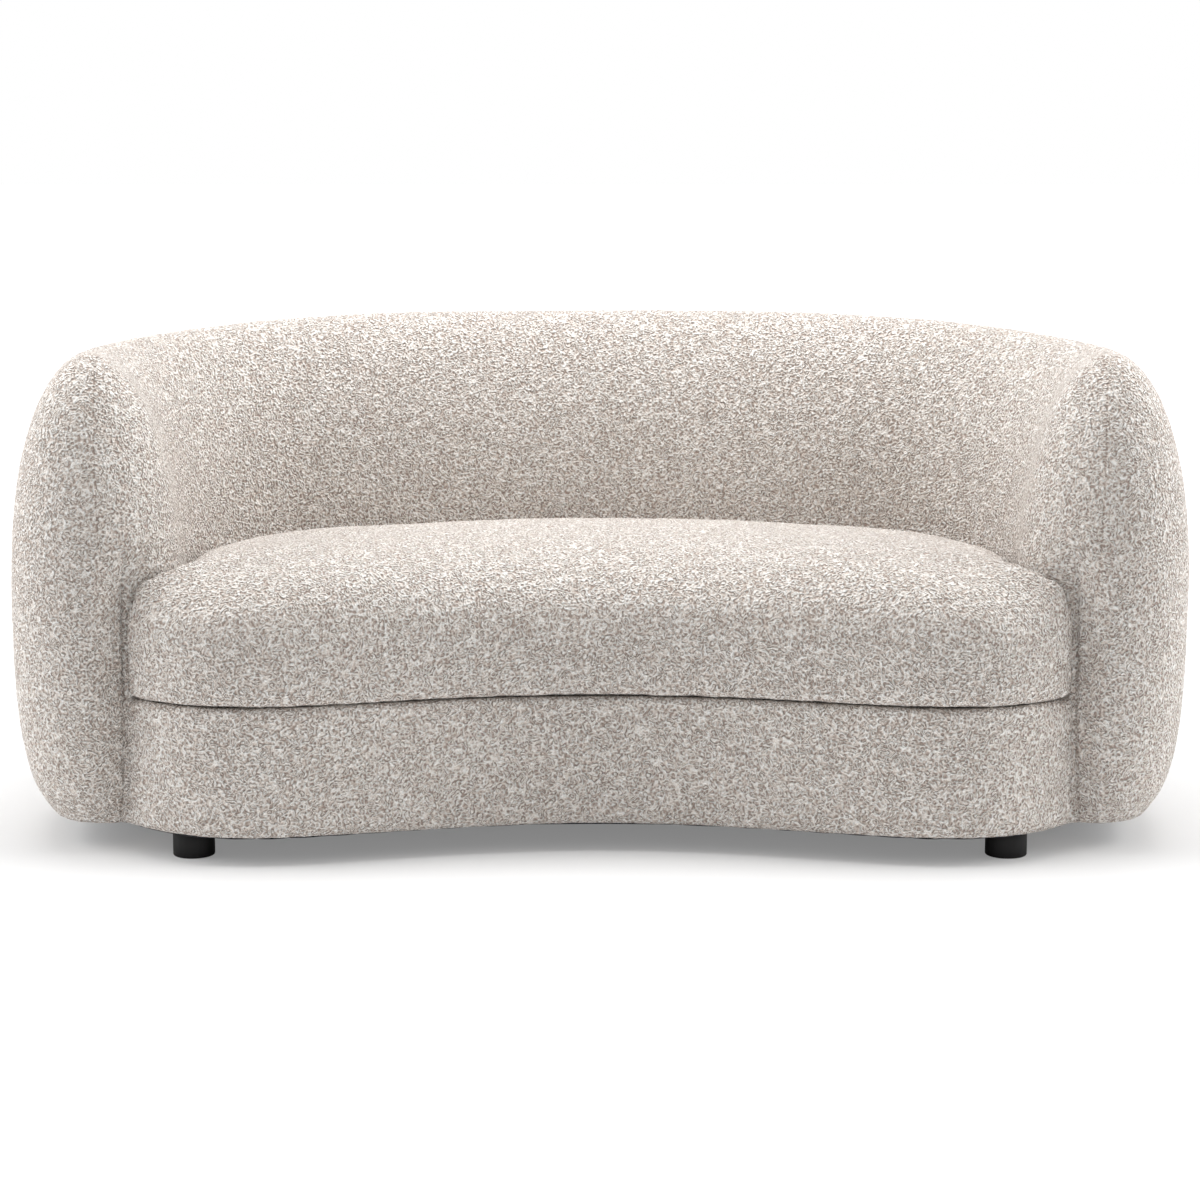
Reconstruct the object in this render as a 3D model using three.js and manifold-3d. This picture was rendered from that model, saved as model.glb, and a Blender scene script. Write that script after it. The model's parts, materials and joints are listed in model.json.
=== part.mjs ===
// Curved two-seat sofa with a rounded back-and-arm body, a loose seat cushion and four round legs.
// Millimetres, +Z up. The origin is on the floor under the middle of the sofa, and the front faces -Y.
import * as THREE from 'three';
import { mergeVertices } from 'three/addons/utils/BufferGeometryUtils.js';
import Module from 'manifold-3d';

// Overall sizes
const overallWidth = 1800;
const overallDepth = 866;
const backHeight = 772;
const armDrop = 36;
const floorClearance = 40;

// Back-and-arm body
const bodyHalfThickness = 126;
const widestHeight = 370;
const noseSetback = 63;
const widestBehindNose = 141;
const armToeIn = 17;
const backBow = 37;
const bottomEdgeShare = 0.5;
const upperCurveShares = { rise: 0.88, width: 1.06 };
const lowerCurveShares = { rise: 0.667, width: 0.5 };
const seatSideShares = { fullness: 0.38, power: 2 };

// Covers, wadding and foam
const coverThickness = 6;
const backFoamThickness = 40;
const ribClearance = 4;
const frontFoamThickness = 12;
const bottomFlange = 26;
const touchGap = 0.3;
const cutOverrun = 5;

// Seat front, a kidney curve between the arms
const lobeFromNose = 257;
const lobeDepth = 160;
const lobePower = 2.5;
const frontRecess = 98;
const recessPower = 1.6;

// Seat base
const seatBaseTop = 235;
const baseFaceInset = 4;
const baseEdgeRadius = 18;
const topFlange = 110;
const lowFlange = 23;
const baseCoverClearance = 1.5;
const deckPadThickness = 10;
const seatRingBorder = 70;
const webbingWidth = 60;
const webbingThickness = 1.5;
const webbingBearing = 45;
const webbingRearBearing = 22;
const webbingCount = 9;
const dustCoverThickness = 1.2;
const dustCoverBorder = 14;

// Seat cushion
const cushionTop = 458;
const cushionEndFall = 14;
const cushionClearance = 2.5;
const cushionCoverThickness = 4;
const topperThickness = 34;
const cushionLipWidth = 40;
const coreLineShares = { reach: 0.74, middle: 0.5, end: 0.36, endsFrom: 0.755 };
const cushionFrontShares = [
  { width: 0, height: 0 },
  { width: 0.972, height: 0 },
  { width: 0.993, height: 0.035 },
  { width: 1, height: 0.13 },
  { width: 1, height: 0.38 },
  { width: 0.991, height: 0.51 },
  { width: 0.96, height: 0.63 },
  { width: 0.9, height: 0.73 },
  { width: 0.8, height: 0.825 },
  { width: 0.635, height: 0.905 },
  { width: 0.37, height: 0.967 },
  { width: 0, height: 1 },
];
const cushionEndShares = [
  { width: 0, height: 0 },
  { width: 0.972, height: 0 },
  { width: 0.993, height: 0.035 },
  { width: 1, height: 0.13 },
  { width: 1, height: 0.5 },
  { width: 0.998, height: 0.66 },
  { width: 0.986, height: 0.775 },
  { width: 0.955, height: 0.86 },
  { width: 0.88, height: 0.92 },
  { width: 0.7, height: 0.965 },
  { width: 0.4, height: 0.99 },
  { width: 0, height: 1 },
];
const cushionRearShares = [
  { width: 0, height: 0 },
  { width: 0.972, height: 0 },
  { width: 0.993, height: 0.035 },
  { width: 1, height: 0.13 },
  { width: 1, height: 0.38 },
  { width: 0.989, height: 0.53 },
  { width: 0.965, height: 0.69 },
  { width: 0.915, height: 0.82 },
  { width: 0.8, height: 0.915 },
  { width: 0.6, height: 0.965 },
  { width: 0.34, height: 0.99 },
  { width: 0, height: 1 },
];
const cushionTurnShares = { frontUntil: -0.95, endFrom: -0.6, endUntil: 0.3, rearFrom: 0.9 };
const plainCushionLevels = [0, 1, 3, 4, 6, 8, 11];

// Wooden frame
const plyThickness = 18;
const topRailBelowTop = 147;
const topRailHalfWidth = 28;
const stretcherPlace = 230;
const stretcherClearance = 1.5;

// Legs and their bolts
const legRadius = 31;
const legBevel = 2.5;
const frontLegFromSide = 295;
const frontLegBehindFront = 88;
const rearLegFromSide = 430;
const boltRadius = 4;
const boltInLeg = 26;
const boltPastNut = 4;
const boltClearance = 0.5;
const nutFlangeRadius = 12;
const nutFlangeThickness = 2;
const nutBarrelRadius = 5.6;
const nutBarrelLength = 12;

// How finely the curves are divided
const fineSteps = {
  armSteps: 2,
  cornerSteps: 6,
  backSteps: 8,
  noseSteps: 8,
  frontSteps: 8,
  lobeSteps: 5,
  quarterSteps: 4,
};
const plainSteps = { ...fineSteps, cornerSteps: 5, backSteps: 6, noseSteps: 6 };
const ribSteps = 8;
const edgeSteps = 3;
const roundSides = 24;
const boltSides = 12;
const meetingHalvings = 40;
const shortestSpacingShare = 0.25;
const fineUpperAngles = [0, 18, 34, 49, 62, 74, 90];
const fineLowerAngles = [28, 48, 64];
const plainUpperAngles = [0, 28, 52, 72, 90];
const plainLowerAngles = [44];

// Places worked out from the sizes above
const frontY = -overallDepth / 2;
const spineReach = overallWidth / 2 - bodyHalfThickness;
const spineRear = overallDepth / 2 - bodyHalfThickness;
const noseY = frontY + noseSetback + bodyHalfThickness;
const noseX = spineReach - armToeIn;
const lobePlace = noseX - lobeFromNose;
const widestY = noseY + widestBehindNose;
const armRadius = (widestBehindNose ** 2 + armToeIn ** 2) / (2 * armToeIn);
const toeAngle = Math.asin(widestBehindNose / armRadius);
const cornerRadius = spineRear - widestY - backBow;
const bowHalfSpan = spineReach - cornerRadius;
const bowAngle = 2 * Math.atan2(backBow, bowHalfSpan);
const bowRadius = cornerRadius + bowHalfSpan / Math.sin(bowAngle);
const frameInset = baseFaceInset + coverThickness + frontFoamThickness + 2 * touchGap;
const basePlateBottom = floorClearance + coverThickness + touchGap;
const basePlateTop = basePlateBottom + plyThickness;
const deckCoverBottom = seatBaseTop - coverThickness;
const deckPadBottom = deckCoverBottom - touchGap - deckPadThickness;
const seatRingTop = deckPadBottom - 2 * touchGap - webbingThickness;
const seatRingBottom = seatRingTop - plyThickness;
const topRailBottom = backHeight - topRailBelowTop;
const ribInset = coverThickness + backFoamThickness + 2 * touchGap + ribClearance;
const ribReach = bodyHalfThickness - ribInset;

// Materials
function finish(color, roughness, metalness) {
  return new THREE.MeshStandardMaterial({ color, roughness, metalness });
}

const boucle = () => finish('#d9d2ca', 0.95, 0);
const lining = () => finish('#cfcac2', 0.9, 0);
const wadding = () => finish('#f2efe9', 0.95, 0);
const foam = () => finish('#e8dfa8', 0.9, 0);
const plywood = () => finish('#c9a877', 0.75, 0);
const webbing = () => finish('#3a3a3c', 0.8, 0);
const blackWood = () => finish('#1c1b1b', 0.6, 0);
const steel = () => finish('#b4b6b8', 0.4, 0.9);

const sofa = new THREE.Group();

function addPiece(name, geometry, material) {
  const mesh = new THREE.Mesh(geometry, material);
  mesh.name = name;
  sofa.add(mesh);
  return mesh;
}

// Solids for cuts and joins
const wasm = await Module();
wasm.setup();

function toSolid(geometry) {
  const bare = geometry.clone();
  bare.deleteAttribute('normal');
  bare.deleteAttribute('uv');
  const merged = mergeVertices(bare);
  const vertProperties = new Float32Array(merged.attributes.position.array);
  const triVerts = new Uint32Array(merged.index.array);
  return new wasm.Manifold(new wasm.Mesh({ numProp: 3, vertProperties, triVerts }));
}

function toGeometry(solid) {
  const mesh = solid.getMesh();
  const geometry = new THREE.BufferGeometry();
  geometry.setAttribute('position', new THREE.BufferAttribute(new Float32Array(mesh.vertProperties), 3));
  geometry.setIndex(new THREE.BufferAttribute(new Uint32Array(mesh.triVerts), 1));
  return geometry;
}

// A flat plate or prism from an outline, with its holes
function prism(outline, bottom, height, holes = []) {
  const shape = new THREE.Shape(outline);
  holes.forEach((hole) => shape.holes.push(new THREE.Path(hole)));
  const geometry = new THREE.ExtrudeGeometry(shape, { depth: height, bevelEnabled: false });
  geometry.translate(0, 0, bottom);
  return geometry;
}

function upright(radius, bottom, height, sides, x, y) {
  const geometry = new THREE.CylinderGeometry(radius, radius, height, sides);
  geometry.rotateX(Math.PI / 2);
  geometry.translate(x, y, bottom + height / 2);
  return geometry;
}

// A closed surface through rings of points, where every ring has as many points as the rim
function closedRings(rings) {
  const count = rings[0].length;
  const positions = rings.flat().flatMap((point) => [point.x, point.y, point.z]);
  const indices = [];
  for (let level = 0; level + 1 < rings.length; level += 1) {
    for (let i = 0; i < count; i += 1) {
      const next = (i + 1) % count;
      const low = level * count;
      const high = low + count;
      indices.push(low + i, low + next, high + next);
      indices.push(low + i, high + next, high + i);
    }
  }
  const loose = new THREE.BufferGeometry();
  loose.setAttribute('position', new THREE.Float32BufferAttribute(positions, 3));
  loose.setIndex(indices);
  return withoutSlivers(mergeVertices(loose));
}

// Where a ring closes on a line, its faces there have two corners alike and are left out
function withoutSlivers(geometry) {
  const index = geometry.index.array;
  const kept = [];
  for (let i = 0; i < index.length; i += 3) {
    const [a, b, c] = [index[i], index[i + 1], index[i + 2]];
    if (a !== b && b !== c && c !== a) {
      kept.push(a, b, c);
    }
  }
  geometry.setIndex(kept);
  return geometry;
}

// The spine is the middle line of the back-and-arm body seen from above, from the left nose to the right
function arcStations(centreX, centreY, radius, from, to, steps) {
  const stations = [];
  for (let i = 0; i <= steps; i += 1) {
    const angle = from + ((to - from) * i) / steps;
    const outward = new THREE.Vector2(Math.cos(angle), Math.sin(angle));
    const place = new THREE.Vector2(centreX, centreY).addScaledVector(outward, radius);
    stations.push({ place, outward });
  }
  return stations;
}

function rightStations(steps) {
  const rearward = Math.PI / 2;
  const bend = rearward - bowAngle;
  const back = arcStations(0, spineRear - bowRadius, bowRadius, rearward, bend, steps.backSteps / 2);
  const corner = arcStations(bowHalfSpan, widestY, cornerRadius, bend, 0, steps.cornerSteps);
  const arm = arcStations(spineReach - armRadius, widestY, armRadius, 0, -toeAngle, steps.armSteps);
  return [...back, ...corner.slice(1), ...arm.slice(1)];
}

const mirrored = (vector) => new THREE.Vector2(-vector.x, vector.y);

// A point beside a station, outside the spine for a positive reach and inside it for a negative one
const beside = ({ place, outward }, reach) => place.clone().addScaledVector(outward, reach);

function spineStations(steps) {
  const right = rightStations(steps);
  const left = right.slice(1).reverse().map(({ place, outward }) => ({
    place: mirrored(place),
    outward: mirrored(outward),
  }));
  return [...left, ...right];
}

// How much lower the top is at a place, as the back's gentle arch falls towards the arms
const topFall = (x) => armDrop * (Math.abs(x) / spineReach) ** 3;

// How far a direction round the nose belongs to the seat's side, where the body runs straight down
function seatwardAt(turn) {
  return Math.min(1, seatSideShares.fullness * (1 - Math.cos(turn)) ** seatSideShares.power);
}

// One rim point has a core on the spine, a direction, and how far it belongs to the seat's side
function bodyRim(steps) {
  const stations = spineStations(steps);
  const first = stations[0];
  const last = stations[stations.length - 1];
  const inwardAt = (station) => station.outward.clone().negate();
  const outer = stations.map((station) => ({ core: station.place, out: station.outward, seatward: 0 }));
  const inner = stations.map((station) => ({ core: station.place, out: inwardAt(station), seatward: 1 }));
  const nose = (place, start, fromSeat) => {
    const points = [];
    for (let i = 1; i < steps.noseSteps; i += 1) {
      const turn = (Math.PI * i) / steps.noseSteps;
      const out = new THREE.Vector2(Math.cos(start - turn), Math.sin(start - turn));
      points.push({ core: place, out, seatward: seatwardAt(fromSeat ? Math.PI - turn : turn) });
    }
    return points;
  };
  const rightNose = nose(last.place, last.outward.angle(), false);
  const leftNose = nose(first.place, inwardAt(first).angle(), true);
  return [...outer, ...rightNose, ...inner.reverse(), ...leftNose].reverse();
}

function bodyLevels(upperAngles, lowerAngles) {
  const levels = lowerAngles.map((degrees) => {
    const angle = THREE.MathUtils.degToRad(degrees);
    const width = Math.cos(angle) ** lowerCurveShares.width;
    return { rise: -(Math.sin(angle) ** lowerCurveShares.rise), width, seatWidth: 1 };
  }).reverse();
  levels.unshift({ rise: -1, width: bottomEdgeShare, seatWidth: 1 });
  levels.unshift({ rise: -1, width: 0, seatWidth: 0 });
  upperAngles.forEach((degrees) => {
    const angle = THREE.MathUtils.degToRad(degrees);
    const width = degrees === 90 ? 0 : Math.cos(angle) ** upperCurveShares.width;
    levels.push({ rise: Math.sin(angle) ** upperCurveShares.rise, width, seatWidth: width });
  });
  return levels;
}

// The back-and-arm body, drawn in by an inset on all sides
function bodyForm(inset, steps, upperAngles, lowerAngles) {
  const half = bodyHalfThickness - inset;
  const rim = bodyRim(steps);
  const rings = bodyLevels(upperAngles, lowerAngles).map((level) => rim.map((spot) => {
    const share = level.width + (level.seatWidth - level.width) * spot.seatward;
    const point = spot.core.clone().addScaledVector(spot.out, half * share);
    const upper = backHeight - inset - topFall(spot.core.x) - widestHeight;
    const lower = widestHeight - floorClearance - inset;
    const height = widestHeight + level.rise * (level.rise > 0 ? upper : lower);
    return new THREE.Vector3(point.x, point.y, height);
  }));
  return closedRings(rings);
}

const fineBody = (inset) => toSolid(bodyForm(inset, fineSteps, fineUpperAngles, fineLowerAngles));
const plainBody = (inset) => toSolid(bodyForm(inset, plainSteps, plainUpperAngles, plainLowerAngles));

// The seat's front edge seen from above, moved back by an inset along its own normal
function frontRecessAt(x) {
  const side = Math.abs(x);
  if (side <= lobePlace) {
    return frontRecess * (1 - (side / lobePlace) ** 2) ** recessPower;
  }
  return lobeDepth * ((side - lobePlace) / lobeFromNose) ** lobePower;
}

// How steeply the front edge runs back, seen from above
function frontSlopeAt(x) {
  const side = Math.abs(x);
  if (side <= lobePlace) {
    const share = side / lobePlace;
    const steepness = (-2 * share * recessPower * frontRecess) / lobePlace;
    return Math.sign(x) * steepness * (1 - share ** 2) ** (recessPower - 1);
  }
  const steepness = (lobePower * lobeDepth) / lobeFromNose;
  return Math.sign(x) * steepness * ((side - lobePlace) / lobeFromNose) ** (lobePower - 1);
}

function frontPoint(x, inset) {
  const normal = new THREE.Vector2(-frontSlopeAt(x), 1).normalize();
  return new THREE.Vector2(x, frontY + frontRecessAt(x)).addScaledVector(normal, inset);
}

// Where the front edge meets a round of a given radius about the right nose
function frontMeeting(inset, radius) {
  let low = lobePlace;
  let high = noseX;
  const nose = new THREE.Vector2(noseX, noseY);
  for (let i = 0; i < meetingHalvings; i += 1) {
    const middle = (low + high) / 2;
    if (frontPoint(middle, inset).distanceTo(nose) > radius) {
      low = middle;
    } else {
      high = middle;
    }
  }
  return low;
}

// Places along the right half of the front edge. All pieces share them, so their edges stay parallel
function frontPlaces(end, steps) {
  const places = Array.from({ length: steps.frontSteps + 1 }, (_, i) => (lobePlace * i) / steps.frontSteps);
  const spacing = lobeFromNose / steps.lobeSteps;
  for (let x = lobePlace + spacing; x < end - spacing * shortestSpacingShare; x += spacing) {
    places.push(x);
  }
  places.push(end);
  return places;
}

const bothSides = (places) => [...places.slice(1).reverse().map((x) => -x), ...places];

// Right half of a seat outline, from the front's middle round to the rear's middle
function seatHalf({ frontInset, noseRadius, wallOffset }, steps) {
  const meeting = frontMeeting(frontInset, noseRadius);
  const points = frontPlaces(meeting, steps).map((x) => frontPoint(x, frontInset));
  const corner = points[points.length - 1];
  const nose = new THREE.Vector2(noseX, noseY);
  const start = corner.clone().sub(nose).angle();
  const end = Math.PI - toeAngle;
  for (let i = 1; i <= steps.quarterSteps; i += 1) {
    const angle = start + ((end - start) * i) / steps.quarterSteps;
    points.push(new THREE.Vector2(Math.cos(angle), Math.sin(angle)).multiplyScalar(noseRadius).add(nose));
  }
  const wall = rightStations(steps).reverse();
  wall.forEach(({ place, outward }, i) => {
    if (i > 0 || wallOffset < noseRadius) {
      points.push(place.clone().addScaledVector(outward, -wallOffset));
    }
  });
  return points;
}

function seatOutline(sizes, steps) {
  const half = seatHalf(sizes, steps);
  return [...half, ...half.slice(1, -1).reverse().map(mirrored)];
}

// How far back the seat reaches at a place, at an offset inside the spine
function wallAt(x, offset) {
  const bend = (bowRadius - offset) * Math.sin(bowAngle);
  if (Math.abs(x) <= bend) {
    return spineRear - bowRadius + Math.sqrt((bowRadius - offset) ** 2 - x ** 2);
  }
  return widestY + Math.sqrt((cornerRadius - offset) ** 2 - (Math.abs(x) - bowHalfSpan) ** 2);
}

// How far forward the seat reaches at a place, at an inset behind its front edge
const frontAt = (x, inset) => frontY + frontRecessAt(x) + inset * Math.hypot(1, frontSlopeAt(x));

// Back-and-arm body: cover, foam, ribs and top rail
function bandOutline(reach) {
  return bodyRim(plainSteps).map(({ core, out }) => core.clone().addScaledVector(out, reach));
}

const bandSolid = (reach, bottom, height) => toSolid(prism(bandOutline(reach), bottom, height));

function insideSpine(reach, bottom, height, forward) {
  const outline = spineStations(plainSteps).map((station) => beside(station, reach));
  const rightEnd = outline[outline.length - 1];
  if (forward) {
    outline.push(new THREE.Vector2(rightEnd.x, frontY - cutOverrun));
    outline.push(new THREE.Vector2(-rightEnd.x, frontY - cutOverrun));
  }
  return toSolid(prism(outline, bottom, height));
}

const bodyOutside = fineBody(0);
const belowFloor = -cutOverrun;
const bottomHalf = bodyHalfThickness * bottomEdgeShare;
const seatPassage = insideSpine(bottomFlange - bottomHalf, belowFloor, seatBaseTop - belowFloor, false);
const bottomOpening = bandSolid(bottomHalf - bottomFlange, belowFloor, basePlateTop - belowFloor);
const bodyShell = bodyOutside.subtract(plainBody(coverThickness));
const bodyCover = bodyShell.subtract(bottomOpening).subtract(seatPassage);
addPiece('body_cover', toGeometry(bodyCover), boucle());

const foamInset = coverThickness + touchGap;
const foamInside = foamInset + backFoamThickness;
const ribSpace = bandSolid(bodyHalfThickness - foamInside, belowFloor, widestHeight - belowFloor);
const belowFoam = insideSpine(overallDepth, belowFloor, basePlateTop + touchGap - belowFloor, true);
const foamShell = plainBody(foamInset).subtract(plainBody(foamInside)).subtract(ribSpace);
const foamTrimmed = foamShell.subtract(seatPassage).subtract(belowFoam);
const tall = backHeight + cutOverrun;
const innerFoam = foamTrimmed.intersect(insideSpine(-touchGap / 2, 0, tall, true));
const outerFoam = foamTrimmed.subtract(insideSpine(touchGap / 2, 0, tall, true));
addPiece('inner_back_foam', toGeometry(innerFoam), foam());
addPiece('outer_back_foam', toGeometry(outerFoam), foam());

const plateReach = (bodyHalfThickness - coverThickness) * bottomEdgeShare - touchGap;

function ribShape(fall) {
  const top = backHeight - ribInset - fall - widestHeight;
  const side = [];
  side.push(new THREE.Vector2(plateReach, basePlateTop + touchGap));
  side.push(new THREE.Vector2(ribReach, seatRingBottom));
  for (let step = 0; step <= ribSteps; step += 1) {
    const angle = (Math.PI / 2) * (step / ribSteps);
    const height = widestHeight + top * Math.sin(angle);
    if (height < topRailBottom) {
      side.push(new THREE.Vector2(ribReach * Math.cos(angle) ** upperCurveShares.width, height));
    }
  }
  const cutAngle = Math.asin((topRailBottom - widestHeight) / top);
  side.push(new THREE.Vector2(ribReach * Math.cos(cutAngle) ** upperCurveShares.width, topRailBottom));
  return [...side, ...side.slice().reverse().map(mirrored)];
}

function addRib(name, { place, outward }) {
  const shape = new THREE.Shape(ribShape(topFall(place.x)));
  const geometry = new THREE.ExtrudeGeometry(shape, { depth: plyThickness, bevelEnabled: false });
  geometry.translate(0, 0, -plyThickness / 2);
  const across = new THREE.Vector3(outward.x, outward.y, 0);
  const up = new THREE.Vector3(0, 0, 1);
  const along = across.clone().cross(up);
  geometry.applyMatrix4(new THREE.Matrix4().makeBasis(across, up, along));
  geometry.translate(place.x, place.y, 0);
  addPiece(name, geometry, plywood());
}

const ribLine = rightStations(plainSteps);
const armRibIndex = ribLine.length - 1 - plainSteps.armSteps;
const noseStation = ribLine[ribLine.length - 1];
const backward = new THREE.Vector2(-noseStation.outward.y, noseStation.outward.x);
const ribPlaces = {
  back_rib: ribLine[plainSteps.backSteps / 2 - 1],
  corner_rib: ribLine[plainSteps.backSteps / 2 + 2],
  arm_rib: ribLine[armRibIndex],
  arm_post: {
    place: noseStation.place.clone().addScaledVector(backward, plyThickness),
    outward: noseStation.outward,
  },
};
addRib('centre_back_rib', ribLine[0]);
Object.entries(ribPlaces).forEach(([name, { place, outward }]) => {
  addRib(`right_${name}`, { place, outward });
  addRib(`left_${name}`, { place: mirrored(place), outward: mirrored(outward) });
});
const topRail = prism(bandOutline(topRailHalfWidth), topRailBottom + touchGap, plyThickness);
addPiece('top_rail', topRail, plywood());

// Seat base: plate, rails, ring, webbing and covers
const clearNose = bodyHalfThickness + baseCoverClearance;
const openingWallOffset = clearNose + plyThickness + webbingRearBearing;

function frameOutline(wallOffset) {
  return seatOutline({ frontInset: frameInset, noseRadius: clearNose, wallOffset }, plainSteps);
}

function openingOutline() {
  const sizes = {
    frontInset: frameInset + seatRingBorder,
    noseRadius: clearNose + seatRingBorder,
    wallOffset: openingWallOffset,
  };
  return seatOutline(sizes, plainSteps);
}

const frontLegX = overallWidth / 2 - frontLegFromSide;
const frontLegY = frontY + frontLegBehindFront;
const rearLegX = overallWidth / 2 - rearLegFromSide;
const rearLegY = wallAt(rearLegX, 0);
const legPlaces = {
  front_left: new THREE.Vector2(-frontLegX, frontLegY),
  front_right: new THREE.Vector2(frontLegX, frontLegY),
  rear_left: new THREE.Vector2(-rearLegX, rearLegY),
  rear_right: new THREE.Vector2(rearLegX, rearLegY),
};

function withoutRounds(solid, radius, bottom, height) {
  return Object.values(legPlaces).reduce((left, { x, y }) => {
    const round = toSolid(upright(radius, bottom, height, roundSides, x, y));
    return left.subtract(round);
  }, solid);
}

const plateBand = bandSolid(plateReach, basePlateBottom, plyThickness);
const plateSeat = toSolid(prism(frameOutline(plateReach), basePlateBottom, plyThickness));
const plateCutBottom = basePlateBottom - cutOverrun;
const plateCutHeight = plyThickness + 2 * cutOverrun;
const plateOpening = toSolid(prism(openingOutline(), plateCutBottom, plateCutHeight));
const plateBlank = plateBand.add(plateSeat).subtract(plateOpening);
const nutHole = nutBarrelRadius + touchGap;
const basePlate = withoutRounds(plateBlank, nutHole, plateCutBottom, plateCutHeight);
addPiece('base_plate', toGeometry(basePlate), plywood());

const ringOutline = frameOutline(ribReach + touchGap);
addPiece('seat_ring', prism(ringOutline, seatRingBottom, plyThickness, [openingOutline()]), plywood());

const railBottom = basePlateTop + touchGap;
const railHeight = seatRingBottom - touchGap - railBottom;
const railMeeting = frontMeeting(frameInset, clearNose + plyThickness);
const frontStripPlaces = frontPlaces(railMeeting, plainSteps).slice(0, -1);
const frontEnd = frontStripPlaces[frontStripPlaces.length - 1];

function frontStrip(nearInset, farInset) {
  const near = bothSides(frontStripPlaces).map((x) => frontPoint(x, nearInset));
  const far = bothSides(frontStripPlaces).map((x) => frontPoint(x, farInset));
  return [...near, ...far.reverse()];
}

const railStrip = frontStrip(frameInset, frameInset + plyThickness);
addPiece('front_rail', prism(railStrip, railBottom, railHeight), plywood());

function wallStrip(stations) {
  const near = stations.map((station) => beside(station, -clearNose));
  const far = stations.map((station) => beside(station, -clearNose - plyThickness));
  return [...near, ...far.reverse()];
}

const wallLine = spineStations(plainSteps);
const rearRailLine = wallLine.slice(plainSteps.armSteps, wallLine.length - plainSteps.armSteps);
addPiece('rear_rail', prism(wallStrip(rearRailLine), railBottom, railHeight), plywood());

function sideRailStrip() {
  const stations = ribLine.slice(armRibIndex);
  const nose = new THREE.Vector2(noseX, noseY);
  const inward = Math.PI - toeAngle;
  const corner = frontPoint(frontEnd, frameInset + plyThickness + touchGap);
  const last = corner.sub(nose).angle();
  const turned = Array.from({ length: plainSteps.quarterSteps }, (_, i) => {
    const angle = inward + ((last - inward) * (i + 1)) / plainSteps.quarterSteps;
    const outward = new THREE.Vector2(-Math.cos(angle), -Math.sin(angle));
    return { place: nose, outward };
  });
  const strip = wallStrip([...stations, ...turned]);
  return strip.map((point) => point.add(new THREE.Vector2(0, -touchGap)));
}

const rightSideStrip = sideRailStrip();
addPiece('right_side_rail', prism(rightSideStrip, railBottom, railHeight), plywood());
addPiece('left_side_rail', prism(rightSideStrip.map(mirrored), railBottom, railHeight), plywood());

function stretcherOutline(x) {
  const [left, right] = [x - plyThickness / 2, x + plyThickness / 2];
  const frontRail = [left, right].map((edge) => frontAt(edge, frameInset + plyThickness));
  const rearRail = [left, right].map((edge) => wallAt(edge, clearNose + plyThickness));
  const front = Math.max(...frontRail) + stretcherClearance;
  const rear = Math.min(...rearRail) - stretcherClearance;
  return [
    new THREE.Vector2(left, front),
    new THREE.Vector2(right, front),
    new THREE.Vector2(right, rear),
    new THREE.Vector2(left, rear),
  ];
}

addPiece('left_stretcher', prism(stretcherOutline(-stretcherPlace), railBottom, railHeight), plywood());
addPiece('right_stretcher', prism(stretcherOutline(stretcherPlace), railBottom, railHeight), plywood());

const webbingSpan = 2 * (lobePlace + webbingWidth);
const webbingPitch = webbingSpan / (webbingCount - 1);
for (let i = 0; i < webbingCount; i += 1) {
  const x = webbingPitch * (i - (webbingCount - 1) / 2);
  const front = frontAt(x, frameInset + seatRingBorder) - webbingBearing;
  const rear = wallAt(x, openingWallOffset) + webbingRearBearing;
  const geometry = new THREE.BoxGeometry(webbingWidth, rear - front, webbingThickness);
  geometry.translate(x, (front + rear) / 2, seatRingTop + touchGap + webbingThickness / 2);
  addPiece(`webbing_${i + 1}`, geometry, webbing());
}

const padOutline = frameOutline(clearNose);
addPiece('deck_pad', prism(padOutline, deckPadBottom, deckPadThickness), wadding());

// The base cover is a bent channel along the front, with a long top flange and a short bottom one
function channelSection() {
  const arc = (centreZ, from, to, radius) => Array.from({ length: edgeSteps + 1 }, (_, i) => {
    const angle = from + ((to - from) * i) / edgeSteps;
    const w = baseFaceInset + baseEdgeRadius - radius * Math.cos(angle);
    return new THREE.Vector2(w, centreZ + radius * Math.sin(angle));
  });
  const high = seatBaseTop - baseEdgeRadius;
  const low = floorClearance + baseEdgeRadius;
  const inside = baseEdgeRadius - coverThickness;
  const topEnd = baseFaceInset + topFlange;
  const bottomEnd = baseFaceInset + lowFlange;
  return [
    new THREE.Vector2(topEnd, seatBaseTop),
    ...arc(high, Math.PI / 2, 0, baseEdgeRadius),
    ...arc(low, 0, -Math.PI / 2, baseEdgeRadius),
    new THREE.Vector2(bottomEnd, floorClearance),
    new THREE.Vector2(bottomEnd, floorClearance + coverThickness),
    ...arc(low, -Math.PI / 2, 0, inside),
    ...arc(high, 0, Math.PI / 2, inside),
    new THREE.Vector2(topEnd, seatBaseTop - coverThickness),
  ];
}

// A section carried along the front edge, with flat ends
function alongFront(section, reach, steps) {
  const count = section.length;
  const positions = [];
  const places = bothSides(frontPlaces(reach, steps));
  places.forEach((x) => {
    section.forEach((corner) => {
      const place = frontPoint(x, corner.x);
      positions.push(place.x, place.y, corner.y);
    });
  });
  const indices = [];
  for (let i = 0; i + 1 < places.length; i += 1) {
    for (let j = 0; j < count; j += 1) {
      const next = (j + 1) % count;
      const [a, b, c, d] = [i * count + j, i * count + next, (i + 1) * count + next, (i + 1) * count + j];
      indices.push(a, b, c, a, c, d);
    }
  }
  const cap = THREE.ShapeUtils.triangulateShape(section, []);
  const lastRing = (places.length - 1) * count;
  cap.forEach(([a, b, c]) => {
    indices.push(a, c, b);
    indices.push(lastRing + a, lastRing + b, lastRing + c);
  });
  const geometry = new THREE.BufferGeometry();
  geometry.setAttribute('position', new THREE.Float32BufferAttribute(positions, 3));
  geometry.setIndex(indices);
  return geometry;
}

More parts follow.
